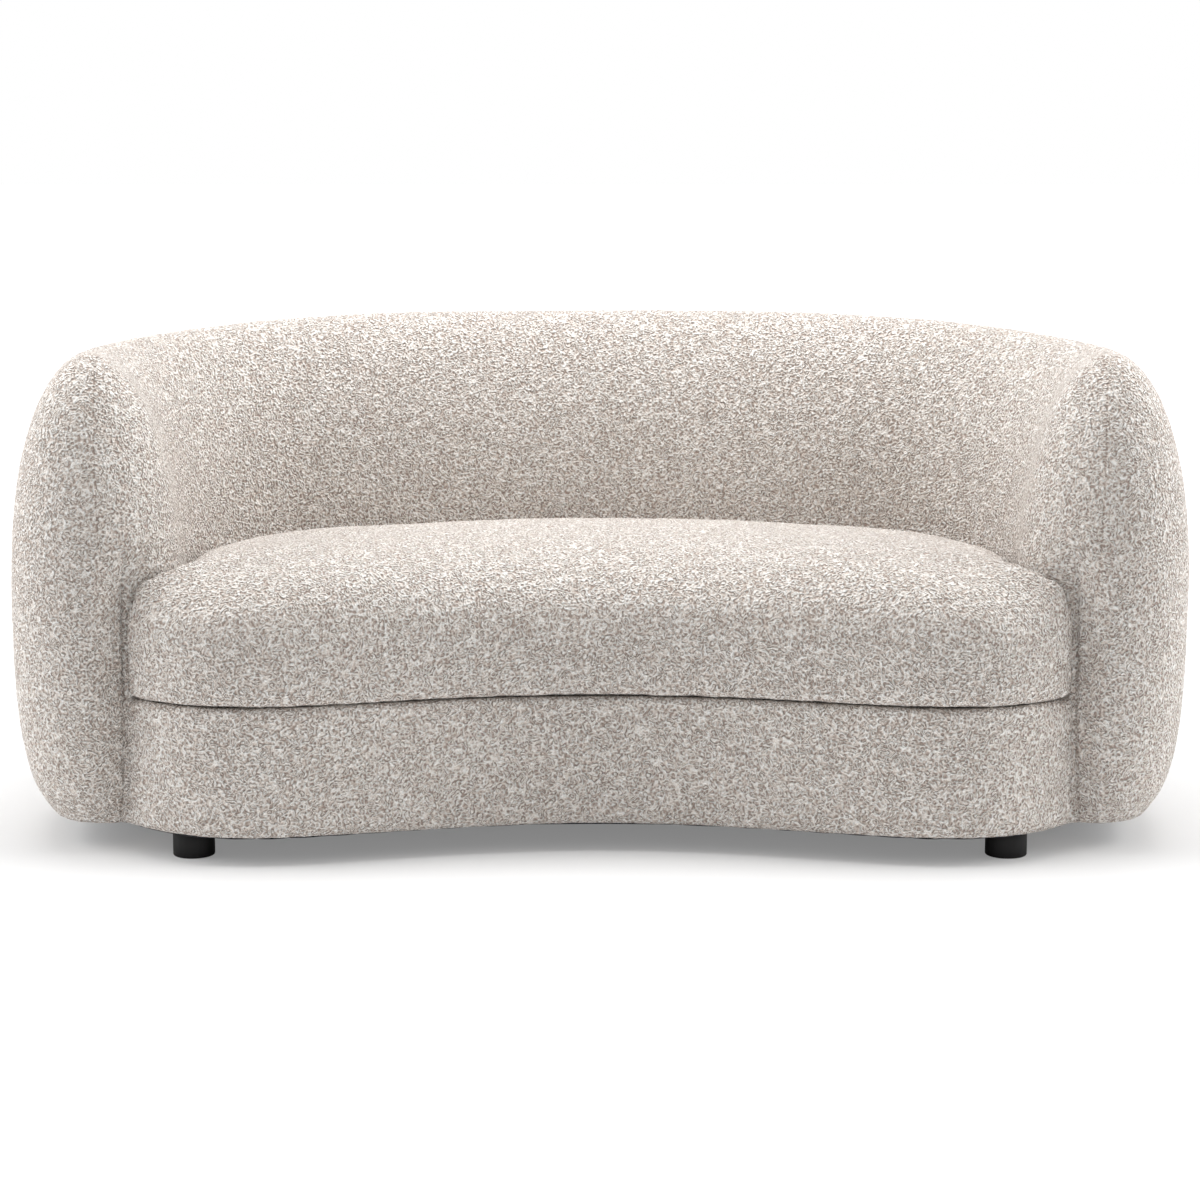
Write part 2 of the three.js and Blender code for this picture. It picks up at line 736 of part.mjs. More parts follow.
const baseReach = noseX - baseEdgeRadius;
const channel = toSolid(alongFront(channelSection(), baseReach, fineSteps));
addPiece('base_cover', toGeometry(channel.subtract(fineBody(-baseCoverClearance))), boucle());

const frontFoamInset = baseFaceInset + coverThickness + touchGap;
const frontFoamStrip = frontStrip(frontFoamInset, frontFoamInset + frontFoamThickness);
const frontFoamBottom = floorClearance + baseEdgeRadius;
const frontFoamHeight = seatBaseTop - baseEdgeRadius - frontFoamBottom;
addPiece('front_foam', prism(frontFoamStrip, frontFoamBottom, frontFoamHeight), foam());

const platformSizes = {
  frontInset: baseFaceInset + topFlange + baseCoverClearance,
  noseRadius: clearNose + cushionClearance,
  wallOffset: clearNose,
};
const platform = prism(seatOutline(platformSizes, plainSteps), deckCoverBottom, coverThickness);
addPiece('platform_cloth', platform, lining());

const dustTop = floorClearance - touchGap;
const dustBottom = dustTop - dustCoverThickness;
const dustBand = bandSolid(bottomHalf - dustCoverBorder, dustBottom, dustCoverThickness);
const dustSizes = {
  frontInset: baseFaceInset + baseEdgeRadius,
  noseRadius: clearNose,
  wallOffset: bottomHalf - bottomFlange,
};
const dustSeat = toSolid(prism(seatOutline(dustSizes, plainSteps), dustBottom, dustCoverThickness));
const legHole = legRadius + touchGap;
const dustCover = withoutRounds(dustBand.add(dustSeat), legHole, dustBottom - cutOverrun, 2 * cutOverrun);
addPiece('dust_cover', toGeometry(dustCover), webbing());

// Seat cushion: a crowned form between the arms, filled with a foam core and a soft topper
const cushionBottom = seatBaseTop + touchGap;
const allCushionLevels = cushionFrontShares.map((_, i) => i);
const straightReach = (bowRadius - bodyHalfThickness) * Math.sin(bowAngle);
const coreReach = straightReach * coreLineShares.reach;

// The cushion's core line runs from end to end and bends with the back
function coreLineAt(x) {
  const between = (place, share) => {
    const front = frontAt(place, 0);
    return front + share * (wallAt(place, bodyHalfThickness) - front);
  };
  const middle = between(0, coreLineShares.middle);
  const end = between(coreReach, coreLineShares.end);
  return new THREE.Vector2(x, middle + (end - middle) * (x / coreReach) ** 2);
}

// How much lower the crown is towards the two ends
function endFall(x) {
  return cushionEndFall * (x / (spineReach - bodyHalfThickness)) ** 2;
}

function smoothStep(value, from, to) {
  const share = Math.min(1, Math.max(0, (value - from) / (to - from)));
  return share ** 2 * (3 - 2 * share);
}

// How far a spot of the rim follows the front, the end and the rear profile
function profileWeights({ core, edge }) {
  const { frontUntil, endFrom, endUntil, rearFrom } = cushionTurnShares;
  const turn = (edge.y - core.y) / edge.distanceTo(core);
  const front = 1 - smoothStep(turn, frontUntil, endFrom);
  const rear = smoothStep(turn, endUntil, rearFrom);
  return { front, end: 1 - front - rear, rear };
}

function profileAt(level, weights) {
  const mixed = (side) => weights.front * cushionFrontShares[level][side]
    + weights.end * cushionEndShares[level][side]
    + weights.rear * cushionRearShares[level][side];
  return { width: mixed('width'), height: mixed('height') };
}

function cushionRim(inset, steps) {
  const noseRadius = bodyHalfThickness + cushionClearance + inset;
  const places = Array.from({ length: steps.frontSteps + 1 }, (_, i) => (coreReach * i) / steps.frontSteps);
  const endCore = coreLineAt(coreReach);
  const front = places.map((x) => ({ core: coreLineAt(x), edge: frontPoint(x, inset) }));
  const rear = places.map((x) => ({
    core: coreLineAt(x),
    edge: new THREE.Vector2(x, wallAt(x, noseRadius)),
  })).reverse();
  const outline = seatHalf({ frontInset: inset, noseRadius, wallOffset: noseRadius }, steps);
  const endEdges = outline.filter((point) => point.x > straightReach * coreLineShares.endsFrom);
  const end = endEdges.map((edge) => ({ core: endCore, edge }));
  const right = [...front, ...end, ...rear];
  const left = right.slice(1, -1).reverse().map((spot) => ({
    core: mirrored(spot.core),
    edge: mirrored(spot.edge),
  }));
  return [...right, ...left].map((spot) => ({ ...spot, weights: profileWeights(spot) }));
}

function cushionForm(inset, steps, levels) {
  const rim = cushionRim(inset, steps);
  const low = cushionBottom + inset;
  const high = cushionTop - inset;
  const rings = levels.map((level) => rim.map(({ core, edge, weights }) => {
    const { width, height } = profileAt(level, weights);
    const point = core.clone().lerp(edge, width);
    return new THREE.Vector3(point.x, point.y, low + (high - low - endFall(point.x)) * height);
  }));
  return toSolid(closedRings(rings));
}

function lipOutline(inset) {
  const clearBody = bodyHalfThickness + cushionClearance + inset;
  return seatOutline({ frontInset: inset, noseRadius: clearBody, wallOffset: clearBody }, plainSteps);
}

const lipCutHeight = cushionCoverThickness + 2 * cutOverrun;
const cushionOpening = prism(lipOutline(cushionLipWidth), cushionBottom - cutOverrun, lipCutHeight);
const cushionInside = cushionForm(cushionCoverThickness, plainSteps, plainCushionLevels);
const cushionCover = cushionForm(0, fineSteps, allCushionLevels).subtract(cushionInside);
addPiece('seat_cover', toGeometry(cushionCover.subtract(toSolid(cushionOpening))), boucle());

const cushionBase = prism(lipOutline(cushionLipWidth + touchGap), cushionBottom, cushionCoverThickness);
addPiece('seat_cover_base', cushionBase, lining());

const filling = cushionForm(cushionCoverThickness + touchGap, plainSteps, plainCushionLevels);
const coreTop = cushionTop - cushionCoverThickness - topperThickness;

function slab(bottom, height) {
  const geometry = new THREE.BoxGeometry(overallWidth, overallDepth, height);
  geometry.translate(0, 0, bottom + height / 2);
  return toSolid(geometry);
}

const topper = filling.intersect(slab(coreTop + touchGap, topperThickness));
addPiece('seat_core', toGeometry(filling.intersect(slab(0, coreTop))), foam());
addPiece('seat_topper', toGeometry(topper), wadding());

// Legs, their bolts and the nuts that hold them to the base plate
const legTop = basePlateBottom - touchGap;
const boltBottom = legTop - boltInLeg;
const boltTop = basePlateTop + nutFlangeThickness + boltPastNut;

function lathe(profile, sides) {
  const geometry = new THREE.LatheGeometry(profile.map(([r, z]) => new THREE.Vector2(r, z)), sides);
  geometry.rotateX(Math.PI / 2);
  return geometry;
}

const boltHole = boltRadius + boltClearance;

function legGeometry() {
  return lathe([
    [0, 0],
    [legRadius - legBevel, 0],
    [legRadius, legBevel],
    [legRadius, legTop],
    [boltHole, legTop],
    [boltHole, boltBottom - touchGap],
    [0, boltBottom - touchGap],
  ], roundSides);
}

function nutGeometry() {
  const seat = basePlateTop + touchGap;
  const top = seat + nutFlangeThickness;
  const bottom = basePlateTop - nutBarrelLength;
  return lathe([
    [boltHole, bottom],
    [nutBarrelRadius, bottom],
    [nutBarrelRadius, seat],
    [nutFlangeRadius, seat],
    [nutFlangeRadius, top],
    [boltHole, top],
    [boltHole, bottom],
  ], boltSides);
}

Object.entries(legPlaces).forEach(([name, { x, y }]) => {
  addPiece(`${name}_leg`, legGeometry().translate(x, y, 0), blackWood());
  const bolt = upright(boltRadius, boltBottom, boltTop - boltBottom, boltSides, x, y);
  addPiece(`${name}_leg_bolt`, bolt, steel());
  addPiece(`${name}_leg_nut`, nutGeometry().translate(x, y, 0), steel());
});

export default sofa;
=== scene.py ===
# Curved two-seat sofa in cream bouclé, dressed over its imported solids. Metres, +Z up, front towards -Y.
import json
import math

import bmesh
import bpy
import numpy as np
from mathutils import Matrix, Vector, geometry, noise
from mathutils.bvhtree import BVHTree


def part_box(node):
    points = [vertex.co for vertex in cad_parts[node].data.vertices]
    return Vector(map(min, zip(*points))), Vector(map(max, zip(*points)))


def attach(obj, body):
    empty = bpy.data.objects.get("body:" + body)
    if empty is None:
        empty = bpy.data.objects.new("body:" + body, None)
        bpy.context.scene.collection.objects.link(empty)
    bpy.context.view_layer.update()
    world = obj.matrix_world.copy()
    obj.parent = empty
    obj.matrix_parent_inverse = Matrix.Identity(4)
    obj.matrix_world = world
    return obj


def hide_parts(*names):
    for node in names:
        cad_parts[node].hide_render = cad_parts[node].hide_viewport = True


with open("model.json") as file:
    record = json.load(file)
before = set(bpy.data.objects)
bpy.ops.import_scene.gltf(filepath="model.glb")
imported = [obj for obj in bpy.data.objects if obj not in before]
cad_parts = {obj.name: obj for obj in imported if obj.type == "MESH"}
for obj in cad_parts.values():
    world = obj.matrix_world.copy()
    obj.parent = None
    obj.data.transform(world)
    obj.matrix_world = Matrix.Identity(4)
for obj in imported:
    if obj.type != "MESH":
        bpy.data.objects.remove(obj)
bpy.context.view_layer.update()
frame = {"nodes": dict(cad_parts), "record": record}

# Overall sizes, as in the solids
WIDTH = 1.8
DEPTH = 0.866
BACK_TOP = 0.772
ARM_DROP = 0.036
CLEARANCE = 0.040

# Back-and-arm body
BODY_HALF = 0.126
WIDEST_HEIGHT = 0.370
NOSE_SETBACK = 0.063
WIDEST_BEHIND_NOSE = 0.141
ARM_TOE_IN = 0.017
BACK_BOW = 0.037
UPPER_SHARES = {"rise": 0.88, "width": 1.06}
LOWER_SHARES = {"rise": 0.667, "width": 0.5}
SEAT_SIDE_SHARES = {"fullness": 0.38, "power": 2}
BOTTOM_SHARE = 0.5
BOTTOM_FLANGE = 0.026
SEAT_EDGE_ROUND = 0.05

# Seat front and base
LOBE_FROM_NOSE = 0.257
LOBE_DEPTH = 0.160
LOBE_POWER = 2.5
FRONT_RECESS = 0.098
RECESS_POWER = 1.6
BASE_TOP = 0.235
BASE_FACE_INSET = 0.004
BASE_EDGE_RADIUS = 0.018
BASE_TOP_RADIUS = 0.010
BASE_TOP_FLANGE = 0.110
BASE_LOW_FLANGE = 0.023

# Seat cushion
CUSHION_BOTTOM = 0.2353
CUSHION_TOP = 0.458
CUSHION_CLEARANCE = 0.0025
END_FALL = 0.014
LIP_WIDTH = 0.040
CORE_SHARES = {"reach": 0.74, "middle": 0.5, "end": 0.36, "ends_from": 0.755}
LOW_SHARES = [(0.0, 0.0), (0.972, 0.0), (0.993, 0.035), (1.0, 0.13)]
CUSHION_FRONT_SHARES = LOW_SHARES + [
    (1.0, 0.38), (0.991, 0.51), (0.96, 0.63), (0.9, 0.73),
    (0.8, 0.825), (0.635, 0.905), (0.37, 0.967), (0.0, 1.0),
]
CUSHION_END_SHARES = LOW_SHARES + [
    (1.0, 0.5), (0.998, 0.66), (0.986, 0.78), (0.955, 0.875),
    (0.88, 0.945), (0.7, 0.98), (0.4, 0.995), (0.0, 1.0),
]
CUSHION_REAR_SHARES = LOW_SHARES + [
    (1.0, 0.38), (0.989, 0.53), (0.965, 0.69), (0.915, 0.82),
    (0.8, 0.915), (0.6, 0.965), (0.34, 0.99), (0.0, 1.0),
]
CUSHION_TURNS = {"front_until": -0.65, "end_from": -0.25, "end_until": -0.2, "rear_from": 0.6}

# Legs
LEG_RADIUS = 0.031
LEG_BEVEL = 0.0025
LEG_TOP_BEVEL = 0.001
LEG_PLACES = ("front_left", "front_right", "rear_left", "rear_right")

# Places worked out from the sizes above
FRONT_Y = -DEPTH / 2
SPINE_REACH = WIDTH / 2 - BODY_HALF
SPINE_REAR = DEPTH / 2 - BODY_HALF
NOSE_Y = FRONT_Y + NOSE_SETBACK + BODY_HALF
NOSE_X = SPINE_REACH - ARM_TOE_IN
NOSE = np.array((NOSE_X, NOSE_Y))
LOBE_PLACE = NOSE_X - LOBE_FROM_NOSE
WIDEST_Y = NOSE_Y + WIDEST_BEHIND_NOSE
ARM_RADIUS = (WIDEST_BEHIND_NOSE ** 2 + ARM_TOE_IN ** 2) / (2 * ARM_TOE_IN)
TOE_ANGLE = math.asin(WIDEST_BEHIND_NOSE / ARM_RADIUS)
CORNER_RADIUS = SPINE_REAR - WIDEST_Y - BACK_BOW
BOW_HALF_SPAN = SPINE_REACH - CORNER_RADIUS
BOW_ANGLE = 2 * math.atan2(BACK_BOW, BOW_HALF_SPAN)
BOW_RADIUS = CORNER_RADIUS + BOW_HALF_SPAN / math.sin(BOW_ANGLE)
MIRROR = np.array([-1.0, 1.0])

# How finely the covers are divided
BODY_SPACING = 0.0085
BODY_LEVEL_SPACING = 0.0068
BASE_SPACING = 0.005
CUSHION_SPACING = 0.009
CUSHION_VOXEL = 0.0105
OUTLINE_SPACING = 0.012
CLOTH_SPACING = 0.013
UNDERSIDE_SPACING = 0.014
PADDING_SPACING = 0.012
FILLING_SPACING = 0.016
MOST_HALVINGS = 7
LEG_SIDES = 96

# How the cushion's cover is filled, and how far its foam and wadding keep from it
COVER_INSET = 0.001
COVER_SECTION = 0.78
COVER_REACH = 0.30
SWELL_FRAMES = 20
SWELL_PRESSURE = 3.0
SWELL_CAP = 0.002
FOAM_GAP = 0.002
WADDING_GAP = 0.0015

# Plain cloths over the webbing and under the sofa, and the staples of the latter
DECK_TOP = 0.235
DECK_INSET = 0.1145
UNDERSIDE_TOP = 0.0397
UNDERSIDE_INSET = 0.022
UNDERSIDE_BAND = 0.049
CLOTH_THICKNESS = 0.0011
DECK_SAG = 0.0022
UNDERSIDE_SAG = 0.003
HOLE_GAP = 0.0006
STAPLE_SPACING = 0.045
STAPLE_INSET = 0.006
STAPLE_HALF = (0.005, 0.0006)
STAPLE_LEVELS = (UNDERSIDE_TOP - 0.0024, UNDERSIDE_TOP - 0.0008)

# Zip: half its length, the step and half size of its teeth, and half the sizes of slider and pull
ZIP_HALF = 0.43
TOOTH_STEP = 0.0011
TOOTH_HALF = (0.0004, 0.0016, 0.0005)
SLIDER_HALF = (0.006, 0.0042, 0.0007)
PULL_HALF = (0.011, 0.0026, 0.0004)
BOX_FACES = ((0, 1, 3, 2), (4, 6, 7, 5), (0, 4, 5, 1), (2, 3, 7, 6), (0, 2, 6, 4), (1, 5, 7, 3))

# Dip and crease of each arm where the seat's front meets it
NOSE_DIP = 0.018
DIP_REACH = 0.06
CREASE_TOP = 0.47
CREASE_FADE = 0.07
CREASE_STEP = 0.0025
CREASE_BAND = 0.02
ARM_CREASE = {"reach": 0.009, "depth": 0.005}
BASE_CREASE = {"reach": 0.008, "depth": 0.006}
BASE_CREASE_BAND = 0.018
PADDING_REACH = 0.16

# Curls and loops of the bouclé yarn
YARN_DEPTH = 0.0044
CURL_BEND = 0.0066
CURL_TURNS = 18.0
LOOP_SIZE = 0.0037
CLUMP_SIZE = 0.03
YARN_TURN = (0.6, 0.4, 0.9)
# Colours by the loops' height: the low end is partly the yarn's taupe and partly painted shade in the gaps
# between loops
YARN_TONES_AND_GAP_SHADE = [
    (0.10, (168, 152, 142)), (0.35, (210, 198, 189)), (0.60, (236, 229, 222)), (0.92, (249, 247, 244)),
]
WEAVE_DEPTH = 0.0004

# Lumps of padding and yarn: size of the noise, and how far it moves the cover
LUMPS = ((0.011, 0.0007), (0.045, 0.0006), (0.25, 0.0012))

# Fine seams down each arm and along the cushion; START and FADE are a factor and a shift
SEAM_FRONT = -0.2
# The seams' darker tone is painted shade in their grooves
SEAM_DARK = 0.25
SEAM_CUT = -0.8
SEAM_SHADE = -0.18
ARM_SEAM_PLACE = 0.727
ARM_SEAM_LEAN = 0.018
ARM_SEAM_LOW = 0.37
ARM_SEAM_RISE = 0.35
ARM_SEAM_WIDTH = 0.0022
ARM_SEAM_START = (10.0, -3.2)
BOXING_HEIGHT = 0.357
BOXING_WIDTH = 0.0018
BOXING_FADE = (-2.2, 1.3)

# Camera: lens and sensor in mm, place, and tilt in degrees
CAMERA_LENS = 85.2
CAMERA_SENSOR = 36.0
CAMERA_PLACE = (0.0, -4.469, 1.037)
CAMERA_TILT = 80.996

# Floor and surround
FLOOR_SIZE = 160.0
FLOOR_LIFT = 0.22
FLOOR_NEAR = 1.2
FLOOR_FAR = 3.5
WORLD_LEVEL = 0.31
WORLD_RISE = 0.06

# Lamps: place, aim, size and power
LAMPS = {
    "top": ((0.0, 0.0, 3.2), (0.0, 0.0, 0.0), (3.6, 1.7), 98.0),
    "left": ((-3.2, 0.0, 1.7), (0.0, 0.0, 0.4), (2.2, 2.2), 67.0),
    "right": ((3.2, 0.0, 1.7), (0.0, 0.0, 0.4), (2.2, 2.2), 67.0),
}


# Camera, floor and light
def add_camera():
    data = bpy.data.cameras.new("camera")
    data.lens = CAMERA_LENS
    data.sensor_width = CAMERA_SENSOR
    camera = bpy.data.objects.new("camera", data)
    camera.location = CAMERA_PLACE
    camera.rotation_euler = (math.radians(CAMERA_TILT), 0.0, 0.0)
    bpy.context.collection.objects.link(camera)
    bpy.context.scene.camera = camera


def add_lamp(name, place, aim, size, power):
    data = bpy.data.lights.new(name, "AREA")
    data.shape = "RECTANGLE"
    data.size, data.size_y = size
    data.energy = power
    lamp = bpy.data.objects.new(name, data)
    lamp.location = place
    lamp.rotation_euler = (Vector(aim) - Vector(place)).to_track_quat("-Z", "Y").to_euler()
    bpy.context.collection.objects.link(lamp)


def new_material(name):
    material = bpy.data.materials.new(name)
    material.use_nodes = True
    tree = material.node_tree
    tree.nodes.clear()
    return material, tree


class Net:
    """A short way to add nodes to a tree and to link them."""

    def __init__(self, tree):
        self.tree = tree

    def node(self, kind, links=None, **settings):
        made = self.tree.nodes.new(kind)
        for key, value in settings.items():
            setattr(made, key, value)
        for socket, value in (links or {}).items():
            self.put(made.inputs[socket], value)
        return made

    def put(self, socket, value):
        if isinstance(value, bpy.types.NodeSocket):
            self.tree.links.new(value, socket)
        else:
            socket.default_value = value

    def math(self, operation, first, second=0.0, third=0.0, clamp=False):
        made = self.node("ShaderNodeMath", operation=operation, use_clamp=clamp)
        for socket, value in zip(made.inputs, (first, second, third)):
            self.put(socket, value)
        return made.outputs[0]

    def noise(self, place, scale, detail=0.0, roughness=0.5, distortion=0.0):
        made = self.node("ShaderNodeTexNoise", {
            "Vector": place, "Scale": scale, "Detail": detail, "Roughness": roughness,
            "Distortion": distortion,
        })
        return made.outputs["Fac"]

    def ramp(self, value, stops):
        made = self.node("ShaderNodeValToRGB", {"Fac": value})
        elements = made.color_ramp.elements
        while len(elements) < len(stops):
            elements.new(0.5)
        for element, (place, colour) in zip(elements, stops):
            element.position = place
            element.color = (*colour, 1.0)
        return made.outputs["Color"]

    def mixed(self, share, first, second):
        made = self.node("ShaderNodeMix", data_type="RGBA")
        for place, value in ((0, share), (6, first), (7, second)):
            self.put(made.inputs[place], value)
        return made.outputs[2]

    def bump(self, height, strength, distance):
        made = self.node("ShaderNodeBump", {
            "Height": height, "Strength": strength, "Distance": distance,
        })
        return made.outputs["Normal"]

    def place(self):
        return self.node("ShaderNodeTexCoord").outputs["Object"]

    def turned(self, vector, angles):
        made = self.node("ShaderNodeMapping", {"Vector": vector})
        made.inputs["Rotation"].default_value = angles
        return made.outputs["Vector"]

    def stretched(self, vector, factors):
        made = self.node("ShaderNodeMapping", {"Vector": vector})
        made.inputs["Scale"].default_value = factors
        return made.outputs["Vector"]

    def finish(self, colour, normal=None, **values):
        shader = self.node("ShaderNodeBsdfPrincipled", {"Base Color": colour})
        if normal is not None:
            self.put(shader.inputs["Normal"], normal)
        for key, value in values.items():
            self.put(shader.inputs[key.replace("_", " ")], value)
        self.node("ShaderNodeOutputMaterial", {"Surface": shader.outputs["BSDF"]})


def linear(red, green, blue):
    return tuple(((value / 255 + 0.055) / 1.055) ** 2.4 for value in (red, green, blue))


def boucle_material():
    """Curled loops of ivory yarn, about 4 mm across; the colour follows their height, so the gaps between
    them are darker, partly the yarn's own taupe and partly painted shade.
    """
    material, tree = new_material("boucle")
    net = Net(tree)
    place = net.turned(net.place(), YARN_TURN)
    bends = net.noise(place, 1 / CURL_BEND)
    curls = net.math("SINE", net.math("MULTIPLY", bends, CURL_TURNS))
    loops = net.math("SUBTRACT", net.noise(place, 1 / LOOP_SIZE), 0.5)
    loops = net.math("MULTIPLY_ADD", loops, 2.0, 0.5, clamp=True)
    height = net.math("MULTIPLY_ADD", curls, 0.25, net.math("MULTIPLY_ADD", loops, 0.5, 0.25))
    clumps = net.math("MULTIPLY_ADD", net.noise(place, 1 / CLUMP_SIZE, 1.0), 0.08, -0.04)
    seams = seam_mask(net)
    height = net.math("MULTIPLY_ADD", seams, SEAM_CUT, height)
    # The seams lower the tone as painted shade in their grooves
    tone = net.math("MULTIPLY_ADD", seams, SEAM_SHADE, net.math("ADD", height, clumps))
    # The ramp paints the gaps between loops darker: partly the yarn's colour, partly painted shade
    colour = net.ramp(tone, [(stop, linear(*rgb)) for stop, rgb in YARN_TONES_AND_GAP_SHADE])
    net.finish(colour, net.bump(height, 1.0, YARN_DEPTH), Roughness=0.95, Sheen_Weight=0.12,
               Sheen_Roughness=0.5, Specular_IOR_Level=0.15)
    return material


def seam_mask(net):
    """1 on the fine seams: down the front of each arm, and along the cushion's front."""
    parts = net.node("ShaderNodeSeparateXYZ", {"Vector": net.place()})
    side = net.math("ABSOLUTE", parts.outputs["X"])
    height = parts.outputs["Z"]
    front = net.math("LESS_THAN", parts.outputs["Y"], SEAM_FRONT)
    upward = net.math("MULTIPLY_ADD", height, 1 / ARM_SEAM_RISE, -ARM_SEAM_LOW / ARM_SEAM_RISE, clamp=True)
    place = net.math("MULTIPLY_ADD", upward, ARM_SEAM_LEAN, ARM_SEAM_PLACE)
    off_line = net.math("ABSOLUTE", net.math("SUBTRACT", side, place))
    on_line = net.math("MULTIPLY_ADD", off_line, -1 / ARM_SEAM_WIDTH, 1.0, clamp=True)
    high = net.math("MULTIPLY_ADD", height, *ARM_SEAM_START, clamp=True)
    arm = net.math("MULTIPLY", net.math("MULTIPLY", on_line, high), front)
    off_row = net.math("ABSOLUTE", net.math("SUBTRACT", height, BOXING_HEIGHT))
    on_row = net.math("MULTIPLY_ADD", off_row, -1 / BOXING_WIDTH, 1.0, clamp=True)
    middle = net.math("MULTIPLY_ADD", side, *BOXING_FADE, clamp=True)
    boxing = net.math("MULTIPLY", net.math("MULTIPLY", on_row, middle), front)
    arm, boxing = (net.math("MULTIPLY", seam, SEAM_DARK) for seam in (arm, boxing))
    return net.math("MAXIMUM", arm, boxing)


def cloth_material(name, dark, light, thread):
    """A plain weave of the given thread width."""
    material, tree = new_material(name)
    net = Net(tree)
    place = net.place()
    parts = net.node("ShaderNodeSeparateXYZ", {"Vector": place})
    turn = 2 * math.pi / thread
    across = net.math("SINE", net.math("MULTIPLY", parts.outputs["X"], turn))
    along = net.math("SINE", net.math("MULTIPLY", parts.outputs["Y"], turn))
    upward = net.math("SINE", net.math("MULTIPLY", parts.outputs["Z"], turn))
    weave = net.math("MULTIPLY_ADD", across, along, net.math("MULTIPLY", upward, 0.5))
    weave = net.math("MULTIPLY_ADD", weave, 0.25, 0.5)
    fuzz = net.noise(place, 900.0, 2.0)
    height = net.math("MULTIPLY_ADD", fuzz, 0.4, net.math("MULTIPLY", weave, 0.6))
    colour = net.ramp(height, [(0.25, dark), (0.75, light)])
    net.finish(colour, net.bump(height, 0.6, WEAVE_DEPTH), Roughness=0.9, Sheen_Weight=0.1)
    return material


def zip_material():
    material, tree = new_material("zip")
    net = Net(tree)
    tint = net.noise(net.place(), 60.0, 2.0)
    colour = net.ramp(tint, [(0.3, linear(206, 200, 190)), (0.7, linear(222, 217, 208))])
    net.finish(colour, net.bump(tint, 0.2, 0.0002), Roughness=0.45)
    return material


def foam_material(name, dark, light, pore):
    material, tree = new_material(name)
    net = Net(tree)
    place = net.place()
    cells = net.node("ShaderNodeTexVoronoi", {"Vector": place, "Scale": 1 / pore})
    tint = net.noise(place, 6.0, 3.0)
    tone = net.math("MULTIPLY_ADD", cells.outputs["Distance"], 0.5, net.math("MULTIPLY", tint, 0.5))
    colour = net.ramp(tone, [(0.2, dark), (0.7, light)])
    net.finish(colour, net.bump(cells.outputs["Distance"], 0.5, 0.0006), Roughness=0.95)
    return material


def plywood_material():
    material, tree = new_material("plywood")
    net = Net(tree)
    place = net.place()
    grain = net.noise(net.stretched(place, (6.0, 140.0, 140.0)), 1.0, 5.0, 0.6, 0.4)
    parts = net.node("ShaderNodeSeparateXYZ", {"Vector": place})
    plies = net.math("SINE", net.math("MULTIPLY", parts.outputs["Z"], 2 * math.pi / 0.0028))
    tone = net.math("MULTIPLY_ADD", plies, 0.12, net.math("MULTIPLY_ADD", grain, 0.8, 0.1))
    colour = net.ramp(tone, [(0.25, linear(150, 112, 70)), (0.75, linear(214, 182, 136))])
    net.finish(colour, net.bump(tone, 0.3, 0.0004), Roughness=0.7)
    return material


def black_wood_material():
    material, tree = new_material("black_wood")
    net = Net(tree)
    grain = net.noise(net.stretched(net.place(), (260.0, 260.0, 18.0)), 1.0, 4.0, 0.6, 0.3)
    colour = net.ramp(grain, [(0.3, linear(13, 12, 12)), (0.7, linear(21, 20, 20))])
    gloss = net.math("MULTIPLY_ADD", grain, 0.12, 0.46)
    net.finish(colour, net.bump(grain, 0.25, 0.0002), Roughness=gloss, Specular_IOR_Level=0.25)
    return material


def steel_material():
    material, tree = new_material("steel")
    net = Net(tree)
    brush = net.noise(net.stretched(net.place(), (300.0, 300.0, 60.0)), 1.0, 3.0)
    colour = net.ramp(brush, [(0.3, (0.42, 0.43, 0.44)), (0.7, (0.6, 0.61, 0.62))])
    rough = net.math("MULTIPLY_ADD", brush, 0.2, 0.25)
    net.finish(colour, net.bump(brush, 0.2, 0.0001), Roughness=rough, Metallic=1.0)
    return material


def floor_material():
    """Pale floor, which the camera sees as white beyond the sofa and its shadow."""
    material, tree = new_material("floor")
    net = Net(tree)
    place = net.place()
    grain = net.noise(place, 3.0, 2.0)
    bright = net.ramp(grain, [(0.0, (0.87, 0.87, 0.87)), (1.0, (0.90, 0.90, 0.90))])
    deep = net.ramp(grain, [(0.0, (0.60, 0.60, 0.60)), (1.0, (0.62, 0.62, 0.62))])
    seen = net.node("ShaderNodeLightPath").outputs["Is Camera Ray"]
    colour = net.mixed(seen, bright, deep)
    shader = net.node("ShaderNodeBsdfPrincipled", {"Base Color": colour, "Roughness": 0.9})
    away = net.node("ShaderNodeVectorMath", {0: place}, operation="LENGTH").outputs["Value"]
    far = net.node("ShaderNodeMapRange", {
        "Value": away, "From Min": FLOOR_NEAR, "From Max": FLOOR_FAR,
        "To Min": FLOOR_LIFT, "To Max": 1.0,
    }).outputs["Result"]
    glow = net.node("ShaderNodeEmission", {"Strength": net.math("MULTIPLY", seen, far)})
    both = net.node("ShaderNodeAddShader", {0: shader.outputs["BSDF"], 1: glow.outputs["Emission"]})
    net.node("ShaderNodeOutputMaterial", {"Surface": both.outputs["Shader"]})
    return material


